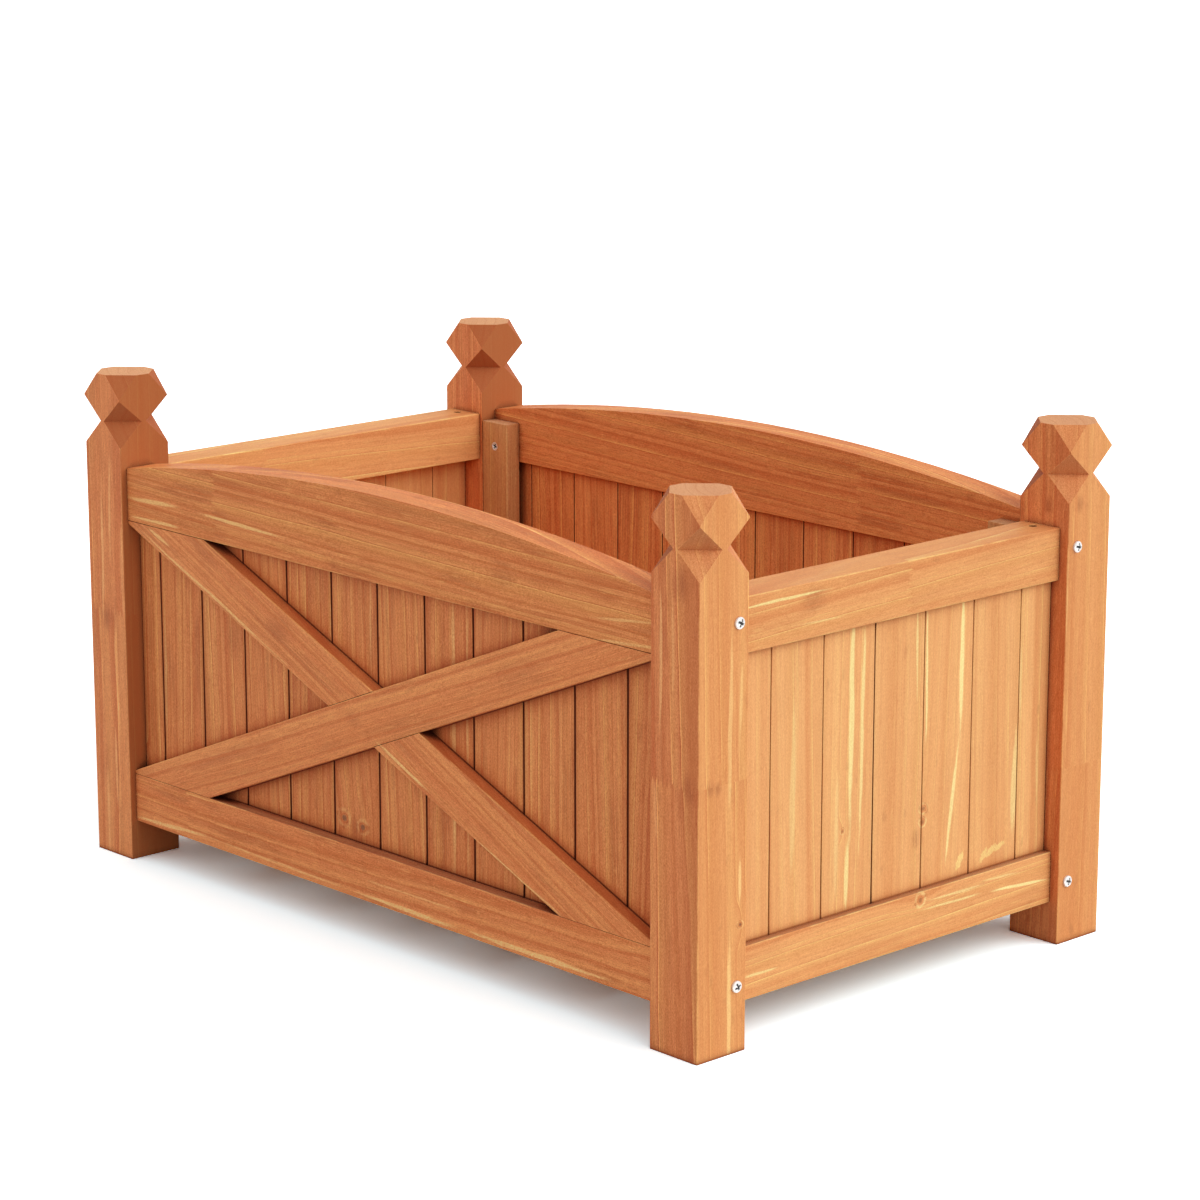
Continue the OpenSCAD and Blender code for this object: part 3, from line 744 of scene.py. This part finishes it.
    def knots(self, colour):
        """The colour with the knots: a dark wake, a pale swirl round the knot, its own rings and its
        core."""
        far = self.nearest(KNOTS[self.slot], 0.9) * (0.55 + self.uneven * 0.9)
        wake = self.step(2.6, 1.0, far) * self.step(0.60, 0.36, self.noise_line(far * 2.2 + 9.0))
        colour = self.laid(colour, "knot wake", wake * self.step(0.62, 0.40, self.uneven))
        swirl = self.step(1.20, 1.55, far) * self.step(2.15, 1.80, far)
        colour = self.mix(colour, self.bare, swirl * self.step(0.36, 0.58, self.uneven) * 0.48)
        rings = self.step(1.15, 0.85, far) * self.step(0.35, 0.62, self.noise_line(far * 5.0, detail=1.0))
        colour = self.laid(colour, "knot ring", rings * 0.9)
        core = self.step(0.85, 0.35, far) * (0.5 if self.on_ends else 0.85)
        return self.mix(colour, self.wood.knot_tone, core)

    def cut_ends(self, colour):
        """The colour with speckled, ringed wood where a face cuts the grain."""
        tone = self.wood.cut_tone
        speckled = self.mix(times(tone, CUT_SPECKLE), tone, self.step(0.38, 0.60, self.speckle))
        ringed = self.mix(speckled, times(tone, CUT_RING), self.after * 0.8)
        return self.mix(colour, ringed, self.cut * 0.66)

    def low_rail(self, colour):
        """The colour of a rail, changed on the bottom rails: lighter on the long sides, and with painted
        shade on the ledge."""
        _, _, z = self.parts(self.place)
        _, _, up = self.parts(self.add("ShaderNodeNewGeometry", output="Normal"))
        low = self.math("LESS_THAN", z, LOW_RAIL)
        if not self.on_ends:
            colour = self.vector("MULTIPLY", colour, self.mix(NO_CHANGE, LOW_RAIL_LIFT, low))
        # Painted shade on the upward faces of the bottom rails' ledge.
        return self.vector("MULTIPLY", colour, self.mix(NO_CHANGE, LEDGE_SHADE, self.step(0.6, 0.95, up) * low))

    def seam_depth(self):
        """How dark the painted shade in the seams is. On the ends all are faint but the one that stands open.
        """
        if self.slot != "end_board_wood":
            return 1.0
        _, y, _ = self.parts(self.marked)
        off = self.math("ABSOLUTE", y * MM - box_of(OPEN_SEAM)[0][1])
        return self.step(4.0, 1.5, off) * 0.60 + 0.40

    def painted_shade_on_boards(self):
        """Painted shade on the boards along the rails, posts, braces and seams: strong in the corner itself,
        then fading with the distance to the nearest of them."""
        panel = PANELS[self.slot]
        along, through = panel["along"], 1 - panel["along"]
        place = self.parts(self.place)
        run, rise, depth = place[along] * MM, place[2] * MM, place[through] * MM
        low, high = box_of(panel["below"])[1][2], box_of(panel["above"])[0][2]
        boards = [box_of(board) for board in panel["boards"]]
        middle = abs(boards[0][0][through] + boards[0][1][through]) / 2
        outer = self.math("GREATER_THAN", self.math("ABSOLUTE", depth), middle)
        gap = self.math("MINIMUM", box_of("back_right_post")[0][along] - self.math("ABSOLUTE", run),
                        (high - low) / 2 - self.math("ABSOLUTE", rise - (high + low) / 2))
        run = run * self.math("SIGN", depth) * panel["turn"]
        for brace in panel["braces"]:
            normal, offset, half = strip_of(brace)
            off = self.math("ABSOLUTE", run * normal.x + rise * normal.y - offset) - half
            gap = self.math("MINIMUM", gap, self.largest(off, 0.0) + (1.0 - outer) * FAR_AWAY)
        near = self.fall(gap, panel["fade"]) * panel["strength"] + self.step(1.2, 0.2, gap) * 0.42
        first, second = boards[1][0][along], boards[2][0][along]
        seam = self.math("PINGPONG", run - first, (second - first) / 2)
        beside = self.fall(seam, panel["seam fade"]) * panel["seam strength"]
        if panel["braces"]:
            beside = beside + self.step(1.4, 0.7, seam) * 0.5
        return self.largest(near, beside * outer)

    def shade(self, nook, seam):
        """How dark a place is with painted shade: in nooks and seams everywhere, round the boards' edges, on
        the braces' edges, and on the posts' feet and on their inner and downward faces. The right posts' long
        faces are also darker towards their near corner."""
        # Painted shade in the boards' seams and, from ambient occlusion, in every nook.
        shade = self.largest(self.attribute("crevice") * seam, nook * 0.95)
        if self.on_boards:
            return self.largest(shade, self.painted_shade_on_boards())
        if self.slot == "brace_wood":
            # Painted shade on the braces' edge faces.
            return self.largest(shade, (1.0 - self.attribute("long_side")) * 0.34)
        if self.slot == "post_wood":
            x, _, z = self.parts(self.place)
            low, high = (corner[0] for corner in box_of("back_right_post"))
            off = (x * MM - (low + high) / 2) * (2 / (high - low))
            corner = self.step(-0.4, 0.9, off) * self.long_faces * 0.24
            # Painted contact shadow along the posts' feet.
            foot_shadow = self.step(2.4, 0.4, z * MM) * 0.55
            # Painted shade on faces turned towards the inside of the bed and downwards.
            return self.largest(shade, corner, foot_shadow, self.step(0.0, 0.6, self.attribute("inward")) * 0.50)
        return shade

    def finish(self, colour):
        """Arrises rubbed pale, with a painted highlight, where they stand free, flecks and the piece's own
        tint, the painted shade, and the surface, whose roughness and height follow the fibres and the lines."""
        # Ambient occlusion finds the nooks, which get painted shade.
        open_air = self.add(
            "ShaderNodeAmbientOcclusion", {"samples": 4}, {"Distance": NOOK_REACH}, output="AO")
        nook = self.step(0.80, 0.12, open_air)
        # Arrises in open air are paled, partly by wear and partly as a painted highlight.
        arris_wear_and_highlight = (1.0 - nook) * self.attribute("arris") * self.step(0.36, 0.60, self.feature("wear"))
        colour = self.mix(colour, self.pale, arris_wear_and_highlight * 0.42)
        if "rail" in self.slot:
            colour = self.low_rail(colour)
        fleck = ((self.fibre - 0.5) * 0.55 + (self.feature("mottle") - 0.5)) * self.bold
        fleck = 0.5 + fleck + self.tint * 0.09
        colour = self.vector("MULTIPLY", colour, self.mix(DARK_FLECK, LIGHT_FLECK, fleck))
        seam = self.seam_depth()
        shade = self.shade(nook, seam)
        # Painted shade: dark brown wherever shade is laid, and near black in the seams' gaps.
        colour = self.laid(colour, "nook", self.step(0.0, 0.60, shade) * 0.85)
        colour = self.laid(colour, "gap", self.step(0.35, 1.0, shade) * seam)

        roughness = (self.wood.sheen + (self.fibre - 0.5) * 0.30 - self.line * 0.06 + self.cut * 0.12
                     + shade * 0.3)
        height = self.fibre * 0.8 + self.dash * 0.4 + self.line * 0.3 + self.speckle * self.cut * 0.9
        bump = self.add("ShaderNodeBump", values={
            "Strength": 0.35, "Distance": WOOD_RELIEF, "Height": height})
        surface = self.add("ShaderNodeBsdfPrincipled", values={
            "Base Color": colour, "Roughness": roughness, "Normal": bump, "IOR": 1.45,
            "Specular IOR Level": RAIL_GLOSS if "rail" in self.slot else WOOD_GLOSS})
        self.add("ShaderNodeOutputMaterial", values={"Surface": surface})


def bright_zinc(screws):
    """Bright zinc plate with a thin dull film, with painted shade in the cross recess, and darker in the
    thread.
    """
    s = Shader(bpy.data.materials.new("bright zinc"))
    place = s.add("ShaderNodeTexCoord", output="Object")
    film = s.noise(place, (ZINC_GRAIN, ZINC_GRAIN), 3.0, 0.5)
    recess = s.step(0.25, 0.85, s.attribute("recess"))
    colour = s.mix(screws.zinc_tone, times(screws.zinc_tone, ZINC_FILM), s.step(0.40, 0.66, film))
    # Painted shade in the cross recess. Between the thread's ridges it is only darker.
    colour = s.mix(colour, HOLLOW_DARK, recess * 0.96)
    bump = s.add("ShaderNodeBump", values={"Strength": 0.2, "Distance": ZINC_RELIEF, "Height": film})
    surface = s.add("ShaderNodeBsdfPrincipled", values={
        "Base Color": colour, "Metallic": 0.45 - recess * 0.45,
        "Roughness": 0.32 + film * 0.14 + recess * 0.4, "Normal": bump})
    s.add("ShaderNodeOutputMaterial", values={"Surface": surface})
    return s.owner


def seen_plainly(s):
    """1 for the rays of the camera, of reflections and of glass, which are shown the white surround."""
    first = s.add("ShaderNodeLightPath", output="Is Camera Ray")
    outputs = first.socket.node.outputs
    return s.largest(first, Field(s, outputs["Is Glossy Ray"]), Field(s, outputs["Is Transmission Ray"]))


# Mesh writing


def read(items, key, width, kind=np.float64):
    """One property of every item of a mesh as an array with that many columns."""
    values = np.empty(len(items) * width, kind)
    items.foreach_get(key, values)
    return values.reshape(-1, width) if width > 1 else values


def put_attribute(mesh, name, kind, domain, values):
    layer = mesh.attributes.new(name, kind, domain)
    key = "vector" if kind == "FLOAT_VECTOR" else "value"
    layer.data.foreach_set(key, np.ravel(values).astype(np.float32))


def merged_copy(node):
    """The triangles of a CAD node as a BMesh with shared corners and joined flat faces."""
    source = frame["nodes"][node].data
    corners = read(source.loops, "vertex_index", 1, np.int64)
    mesh = bpy.data.meshes.new("merging")
    mesh.from_pydata(read(source.vertices, "co", 3), [], corners.reshape(-1, 3))
    work = bmesh.new()
    work.from_mesh(mesh)
    bpy.data.meshes.remove(mesh)
    bmesh.ops.remove_doubles(work, verts=work.verts, dist=WELD_REACH)
    bmesh.ops.dissolve_limit(work, angle_limit=FLAT_ANGLE, verts=work.verts, edges=work.edges)
    return work


def round_arrises(work, width, steps, shortest, longest):
    """Rounds the outward edges whose length lies between two limits, and marks the new faces as
    arrises."""
    arris_wear_and_highlight = work.faces.layers.float.get("arris") or work.faces.layers.float.new("arris")
    edges = [e for e in work.edges if e.is_manifold and e.is_convex
             and e.calc_face_angle() > ARRIS_ANGLE and shortest <= e.calc_length() < longest]
    made = bmesh.ops.bevel(work, geom=edges, offset=width, offset_type="OFFSET", segments=steps,
                           profile=ROUND_PROFILE, affect="EDGES", clamp_overlap=True)
    for face in made["faces"]:
        face[arris_wear_and_highlight] = 1.0


def islands(count, edges):
    """A number for each vertex that is the same for all vertices joined by edges."""
    label = np.arange(count)
    while True:
        low = np.minimum(label[edges[:, 0]], label[edges[:, 1]])
        fresh = label.copy()
        np.minimum.at(fresh, edges[:, 0], low)
        np.minimum.at(fresh, edges[:, 1], low)
        fresh = fresh[fresh]
        if np.array_equal(fresh, label):
            return label
        label = fresh


def grain_axes(spot, ends, face_axis, face_area):
    """Directions along the grain, across it and through the piece. The grain follows the longest edge,
    and the piece is thinnest, or as thin as it is wide, along the normal of its largest face."""
    run = spot[ends[:, 1]] - spot[ends[:, 0]]
    length = np.linalg.norm(run, axis=1)
    grain = run[length.argmax()] / length.max()
    grain = grain * np.sign(grain[np.abs(grain).argmax()])
    beside = np.abs(face_axis @ grain) < ALONG_GRAIN
    through = face_axis[np.where(beside, face_area, 0).argmax()]
    through = through - grain * (through @ grain)
    through /= np.linalg.norm(through)
    return np.stack([grain, np.cross(through, grain), through])


def cut_from_trunk(slot, axes, luck):
    """A piece's axes with a slight lean, and the way from the trunk's pith to its middle, in
    millimetres."""
    lean = luck.normal(0, LEAN, 2)
    skew = axes + np.array([lean[0] * axes[1] + lean[1] * axes[2], -lean[0] * axes[0], -lean[1] * axes[0]])
    kind = "post" if slot == "post_wood" else "board" if slot.endswith("board_wood") else "other"
    turns, depths = TRUNK[kind]
    half = 1 if kind == "post" else luck.choice([-1, 1])
    turned, depth = half * luck.uniform(*turns), luck.uniform(*depths)
    place = luck.uniform(0, TRUNK_LENGTH), depth * math.sin(turned), depth * math.cos(turned)
    return skew, np.array(place)


def lay_grain(mesh, node, slot, seed):
    """Gives every solid of a piece its own place in a trunk. Its corners get their position from the pith
    in millimetres, a tint with streakiness, and their place past a splice. Its faces get how squarely
    they cut the grain, how deep in a seam they lie, and how much they face the long sides and the inside
    of the bed."""
    spot = read(mesh.vertices, "co", 3)
    edges = read(mesh.edges, "vertices", 2, np.int64)
    face_axis = read(mesh.polygons, "normal", 3)
    face_middle = read(mesh.polygons, "center", 3)
    face_area = read(mesh.polygons, "area", 1)
    corner = read(mesh.loops, "vertex_index", 1, np.int64)
    face_start = read(mesh.polygons, "loop_start", 1, np.int64)
    label = islands(len(spot), edges)
    face_label = label[corner[face_start]]
    grain, tint = np.empty_like(spot), np.zeros_like(spot)
    splice = np.full_like(spot, -FAR_AWAY)
    end_grain, crevice = np.empty(len(face_area)), np.zeros(len(face_area))
    for turn, mark in enumerate(np.unique(label)):
        luck = np.random.default_rng([seed, turn])
        own, own_faces = label == mark, face_label == mark
        number = np.cumsum(own) - 1
        ends = number[edges[own[edges[:, 0]]]]
        axes = grain_axes(spot[own], ends, face_axis[own_faces], face_area[own_faces])
        middle = (spot[own].min(0) + spot[own].max(0)) / 2
        skew, pith = cut_from_trunk(slot, axes, luck)
        grain[own] = (spot[own] - middle) @ skew.T * MM + pith
        tint[own, 0:2] = luck.uniform(-1, 1) + BOARD_TINT.get(node, 0.0), luck.uniform(-1, 1)
        if node in SPLICES:
            long_way = np.abs(axes[0]).argmax()
            splice[own, 0] = (spot[own, long_way] - SPLICES[node]) * MM
            splice[own, 1] = spot[own, 0 if long_way == 2 else 2] * MM
        end_grain[own_faces] = np.abs(face_axis[own_faces] @ axes[0])
        if slot.endswith("board_wood"):
            depth_in = np.abs((face_middle[own_faces] - middle) @ axes[2])
            half = np.abs((spot[own] - middle) @ axes[2]).max()
            crevice[own_faces] = np.clip((half - depth_in) / SEAM_EDGE, 0, 1)
    level = np.abs(face_axis[:, :2]) + TINY
    long_side = level[:, 1] / level.sum(1) * (face_axis[:, 2] < LEVEL_TOP)
    inward = np.maximum(-face_axis[:, 0] * np.sign(face_middle[:, 0].mean()), -face_axis[:, 2] * LOOKS_DOWN)
    for name, values in {"grain": grain, "tint": tint, "splice": splice}.items():
        put_attribute(mesh, name, "FLOAT_VECTOR", "POINT", values)
    for name, values in {"end_grain": end_grain, "crevice": crevice, "long_side": long_side,
                         "inward": np.clip(inward, 0, 1)}.items():
        put_attribute(mesh, name, "FLOAT", "FACE", values)


def dress(obj, node, material):
    """Puts a finished piece in the scene in place of its CAD node."""
    bpy.context.scene.collection.objects.link(obj)
    obj.data.materials.append(material)
    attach(obj, frame["nodes"][node]["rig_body"])
    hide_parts(node)


ORDER = {part["node"]: turn for turn, part in enumerate(frame["record"]["subparts"])}


def nodes_of(slot):
    """The CAD nodes that take their finish from a slot, in the record's order."""
    return [part["node"] for part in frame["record"]["subparts"] if part["material_slot"] == slot]


def timber(node, slot, material, edges, thin):
    """One timber node as a piece with rounded arrises and its own grain."""
    work = merged_copy(node)
    if thin:
        round_arrises(work, edges.board_arris, BOARD_STEPS, SHORT_EDGE, math.inf)
    else:
        round_arrises(work, edges.long_arris, edges.steps, LONG_EDGE, math.inf)
        round_arrises(work, edges.facet_arris, FACET_STEPS, SHORT_EDGE, LONG_EDGE)
    for edge in work.edges:
        edge.smooth = edge.is_manifold and edge.calc_face_angle() < CREASE_ANGLE
    for face in work.faces:
        face.smooth = True
    mesh = bpy.data.meshes.new(node + "_timber")
    work.to_mesh(mesh)
    work.free()
    lay_grain(mesh, node, slot, ORDER[node])
    piece = bpy.data.objects.new(node + "_timber", mesh)
    dress(piece, node, material)
    shading = piece.modifiers.new("Even shading", "WEIGHTED_NORMAL")
    shading.keep_sharp = True
    shading.weight = LARGE_FACE_WEIGHT


def make_timbers(context, slot, stain, thin=False):
    """All timber nodes of one slot, with the stain of one setting. Returns what an operator has to."""
    scene = context.scene
    material = StainedFir(slot, getattr(scene.bed_wood, stain), scene.bed_wood).owner
    for node in nodes_of(slot):
        timber(node, slot, material, scene.bed_edges, thin)
    return {"FINISHED"}


def screws_of(node):
    """Every screw of a CAD node: the middle of its head's seat, the way to its head, its shank's length,
    its head's radius and how far the head stands proud of its seat. The seat is where the head's widest
    ring starts."""
    work = merged_copy(node)
    mesh = bpy.data.meshes.new("reading")
    work.to_mesh(mesh)
    work.free()
    spot = read(mesh.vertices, "co", 3)
    label = islands(len(spot), read(mesh.edges, "vertices", 2, np.int64))
    bpy.data.meshes.remove(mesh)
    found = []
    for mark in np.unique(label):
        own = spot[label == mark]
        axis = np.ptp(own, axis=0).argmax()
        middle = (own.min(0) + own.max(0)) / 2
        off = np.linalg.norm(np.delete(own - middle, axis, axis=1), axis=1)
        ring = own[off > off.max() * SEAT_RING, axis]
        way = np.zeros(3)
        way[axis] = math.copysign(1.0, ring.mean() - middle[axis])
        along, rim = own[:, axis] * way[axis], ring * way[axis]
        middle[axis] = rim.min() * way[axis]
        found.append((middle, way, rim.min() - along.min(), off.max(), along.max() - rim.min()))
    return found


def screw_grid(screws, length, head, proud, turn):
    """One screw as a grid of rows from the middle of its head to its tip by columns round it, with its
    seat at zero. Row height on a pan head = dome less the cross recess, and a point is in the recess by
    how far it lies inside either arm. A flush head is a cone. The shank's radius = core + a ridge that
    rises once a pitch along a helix, and all of it shrinks to nothing over the tip."""
    pan = proud > PAN_PROUD
    shank = PAN_SHANK if pan else FLUSH_SHANK
    core = shank * CORE_SHARE
    columns = screws.columns if pan else screws.columns * 2 // 3
    angle = np.arange(columns) * 2 * math.pi / columns
    out = head * HEAD_RINGS
    if pan:
        dome = proud / 2 * (2 - (out / head) ** 2)
        dome[-len(PAN_RIM_DROP):] -= PAN_RIM_DROP
        under_r, under_z = np.array([head, head * UNDER_HEAD, shank]), np.array([PAN_RIM, 0.0, 0.0])
    else:
        dome = np.zeros(len(out))
        dome[-len(FLUSH_RIM_DROP):] -= FLUSH_RIM_DROP
        under_r, under_z = np.array([shank * FLUSH_NECK]), np.array([shank - head])
    rows = max(FEWEST_ROWS, int(ROWS_A_TURN * length / screws.thread_gap))
    down = np.linspace(under_z[-1] - SHANK_TOP, -length, rows)
    radius = np.concatenate([out, under_r, np.full(rows, shank)])[:, None] + 0 * angle
    height = np.concatenate([dome, under_z, down])[:, None] + 0 * angle
    top, shaft = slice(None, len(out)), slice(len(out) + len(under_r), None)
    turns = np.abs((down[:, None] / screws.thread_gap + angle / (2 * math.pi)) % 1.0 - 0.5) * 2
    radius[shaft] = core + (shank - core) * turns ** RIDGE_POWER
    radius[shaft] *= np.clip((down[:, None] + length) / (shank * TIP_LENGTH), TIP_END, 1.0) ** TIP_POWER
    arm = np.minimum(np.abs(np.cos(angle - turn)), np.abs(np.sin(angle - turn))) * radius[top]
    recess = np.zeros_like(radius)
    recess[top] = np.clip((screws.recess_width / 2 - arm) / ARM_WALL + 0.5, 0, 1)
    recess[top] *= np.clip((head * RECESS_REACH - radius[top]) / REACH_WALL + 0.5, 0, 1)
    height -= recess * screws.recess_depth * (1 - radius / head * 0.5)
    recess[shaft] = (1 - turns) * THREAD_DARKENING
    return np.stack([radius * np.cos(angle), radius * np.sin(angle), height], axis=-1), recess


def grid_faces(rows, columns, first):
    """Faces of a closed tube of rows by columns, with a fan at each end round a pole."""
    here = first + np.arange(rows * columns).reshape(rows, columns)
    beside = np.roll(here, -1, axis=1)
    walls = np.stack([here[:-1], here[1:], beside[1:], beside[:-1]], axis=-1).reshape(-1, 4)
    top, tip = first + rows * columns, first + rows * columns + 1
    caps = np.concatenate([np.stack([here[0], beside[0], np.full(columns, top)], axis=-1),
                           np.stack([beside[-1], here[-1], np.full(columns, tip)], axis=-1)])
    return walls.tolist() + caps.tolist()


def turned_screws(node, material, screws, seed):
    """All screws of a node as one piece, each turned in by a different amount."""
    luck = np.random.default_rng(seed)
    spots, faces, recesses = [], [], []
    count = 0
    for middle, way, length, head, proud in screws_of(node):
        turn = luck.uniform(*TURNED_IN) * luck.choice([-1, 1])
        grid, recess = screw_grid(screws, length, head, proud, turn)
        side = np.array([0.0, 1.0, 0.0] if abs(way[1]) < 0.5 else [0.0, 0.0, 1.0])
        axes = np.stack([side, np.cross(way, side), way])
        poles = np.stack([grid[0].mean(0), grid[-1].mean(0)])
        poles[1, 2] = -length
        spots.append(np.concatenate([grid.reshape(-1, 3), poles]) @ axes + middle)
        recesses.append(np.concatenate([recess.ravel(), [recess[0].mean(), 0.0]]))
        faces += grid_faces(*grid.shape[:2], count)
        count += len(spots[-1])
    mesh = bpy.data.meshes.new(node + "_turned")
    mesh.from_pydata(np.concatenate(spots), [], faces)
    mesh.shade_smooth()
    mesh.set_sharp_from_angle(angle=CREASE_ANGLE)
    put_attribute(mesh, "recess", "FLOAT", "POINT", np.concatenate(recesses))
    dress(bpy.data.objects.new(node + "_turned", mesh), node, material)


# Stage


def light_surround(stage):
    """Even light from all round that fades towards straight overhead and below the skyline, stronger from
    behind the right end and, with a tint, towards the long front. The camera sees it white."""
    world = bpy.data.worlds.new("soft white surround")
    bpy.context.scene.world = world
    s = Shader(world)
    way = s.add("ShaderNodeTexCoord", output="Generated")
    _, _, lift = s.parts(way)
    key = s.largest(s.vector("DOT_PRODUCT", way, KEY_WAY, output=1), 0.0)
    front = s.largest(s.vector("DOT_PRODUCT", way, FRONT_WAY, output=1), 0.0)
    level = (stage.sky_level + key ** 4.0 * stage.side_level) * (s.step(-0.05, 0.40, lift) * 0.85 + 0.15)
    level = level * (1.0 - s.step(0.55, 1.0, lift) * stage.top_shade) + front * front * stage.front_level
    light = s.scaled(s.mix(WHITE, stage.front_tone, front), level)
    light = s.mix(light, WHITE, seen_plainly(s))
    shown = s.add("ShaderNodeBackground", values={"Color": light, "Strength": 1.0})
    s.add("ShaderNodeOutputWorld", values={"Surface": shown})


def lay_floor(stage):
    """A wide matt floor that keeps the bed's shadow. The camera sees it near white, and a little cooler
    beside the bed, where light from the stained timber warms it."""
    far = FLOOR_HALF
    mesh = bpy.data.meshes.new("white_floor")
    mesh.from_pydata([(-far, -far, 0), (far, -far, 0), (far, far, 0), (-far, far, 0)], [], [(0, 1, 2, 3)])
    floor = bpy.data.objects.new("white_floor", mesh)
    bpy.context.scene.collection.objects.link(floor)
    s = Shader(bpy.data.materials.new("white floor"))
    matt = s.add("ShaderNodeBsdfDiffuse", values={"Color": FLOOR_MATT})
    place = s.parts(s.add("ShaderNodeTexCoord", output="Object"))
    past_x, past_y = (s.largest(s.math("ABSOLUTE", part) - reach, 0.0)
                      for part, reach in zip(place[:2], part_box("back_right_post")[1]))
    past = s.math("SQRT", past_x * past_x + past_y * past_y)
    tone = s.mix(stage.shadow_tone, stage.floor_tone, s.step(*SHADOW_EDGE, past))
    shown = s.add("ShaderNodeBsdfDiffuse", values={"Color": tone})
    mixed = s.add("ShaderNodeMixShader", values={0: seen_plainly(s), 1: matt, 2: shown})
    s.add("ShaderNodeOutputMaterial", values={"Surface": mixed})
    mesh.materials.append(s.owner)


def set_camera(stage):
    """The camera, looking down at the near right corner of the bed."""
    camera = bpy.data.objects.new("camera", bpy.data.cameras.new("camera"))
    bpy.context.scene.collection.objects.link(camera)
    camera.data.lens = stage.lens
    camera.data.clip_end = CAMERA_REACH
    forward, right = Vector(CAMERA_FORWARD).normalized(), Vector(CAMERA_RIGHT).normalized()
    turn = Matrix((right, right.cross(forward), -forward)).transposed().to_4x4()
    camera.matrix_world = Matrix.Translation(CAMERA_PLACE) @ turn
    bpy.context.scene.camera = camera


# Operators


class BED_OT_posts(bpy.types.Operator):
    """Make the four posts with their faceted finials"""
    bl_idname = "garden_bed.posts"
    bl_label = "Posts"

    def execute(self, context):
        return make_timbers(context, "post_wood", "post_tone")


class BED_OT_side_rails(bpy.types.Operator):
    """Make the arched top rails and the bottom rails of the long sides"""
    bl_idname = "garden_bed.side_rails"
    bl_label = "Side rails"

    def execute(self, context):
        return make_timbers(context, "side_rail_wood", "side_tone")


class BED_OT_braces(bpy.types.Operator):
    """Make the crossed braces of the long sides"""
    bl_idname = "garden_bed.braces"
    bl_label = "Braces"

    def execute(self, context):
        return make_timbers(context, "brace_wood", "side_tone")


class BED_OT_side_boards(bpy.types.Operator):
    """Make the upright boards of the long sides"""
    bl_idname = "garden_bed.side_boards"
    bl_label = "Side boards"

    def execute(self, context):
        return make_timbers(context, "side_board_wood", "side_tone", thin=True)


class BED_OT_end_rails(bpy.types.Operator):
    """Make the tenoned rails of the two ends"""
    bl_idname = "garden_bed.end_rails"
    bl_label = "End rails"

    def execute(self, context):
        return make_timbers(context, "end_rail_wood", "end_tone")


class BED_OT_end_boards(bpy.types.Operator):
    """Make the upright boards of the two ends"""
    bl_idname = "garden_bed.end_boards"
    bl_label = "End boards"

    def execute(self, context):
        return make_timbers(context, "end_board_wood", "end_tone", thin=True)


class BED_OT_inner_timbers(bpy.types.Operator):
    """Make the stiles, cleats and floor slats inside the bed"""
    bl_idname = "garden_bed.inner_timbers"
    bl_label = "Inner timbers"

    def execute(self, context):
        return make_timbers(context, "inner_wood", "inner_tone")


class BED_OT_screws(bpy.types.Operator):
    """Make the pan head corner screws and the countersunk inner screws"""
    bl_idname = "garden_bed.screws"
    bl_label = "Screws"

    def execute(self, context):
        screws = context.scene.bed_screws
        zinc = bright_zinc(screws)
        for node in nodes_of("zinc_screws"):
            turned_screws(node, zinc, screws, ORDER[node])
        return {"FINISHED"}


class BED_OT_stage(bpy.types.Operator):
    """Make the white floor, the soft light and the camera"""
    bl_idname = "garden_bed.stage"
    bl_label = "Stage"

    def execute(self, context):
        stage = context.scene.bed_stage
        context.scene.view_settings.view_transform = "Standard"
        light_surround(stage)
        lay_floor(stage)
        set_camera(stage)
        return {"FINISHED"}


class BED_PT_panel(bpy.types.Panel):
    bl_label = "Garden Bed"
    bl_idname = "BED_PT_panel"
    bl_space_type = "VIEW_3D"
    bl_region_type = "UI"
    bl_category = "Garden Bed"

    def draw(self, context):
        for name, group in SETTINGS.items():
            box = self.layout.box()
            for key in group.__annotations__:
                box.prop(getattr(context.scene, name), key)
        for operator in OPERATORS:
            self.layout.operator(operator.bl_idname)


OPERATORS = [BED_OT_posts, BED_OT_side_rails, BED_OT_braces, BED_OT_side_boards, BED_OT_end_rails,
             BED_OT_end_boards, BED_OT_inner_timbers, BED_OT_screws, BED_OT_stage]


def register():
    for name, group in SETTINGS.items():
        bpy.utils.register_class(group)
        setattr(bpy.types.Scene, name, PointerProperty(type=group))
    for item in [*OPERATORS, BED_PT_panel]:
        bpy.utils.register_class(item)


def unregister():
    for item in reversed([*OPERATORS, BED_PT_panel]):
        bpy.utils.unregister_class(item)
    for name, group in reversed(SETTINGS.items()):
        delattr(bpy.types.Scene, name)
        bpy.utils.unregister_class(group)


def main():
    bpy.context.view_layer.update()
    register()
    for operator in OPERATORS:
        group, name = operator.bl_idname.split(".")
        getattr(getattr(bpy.ops, group), name)()


if __name__ == "__main__":
    main()
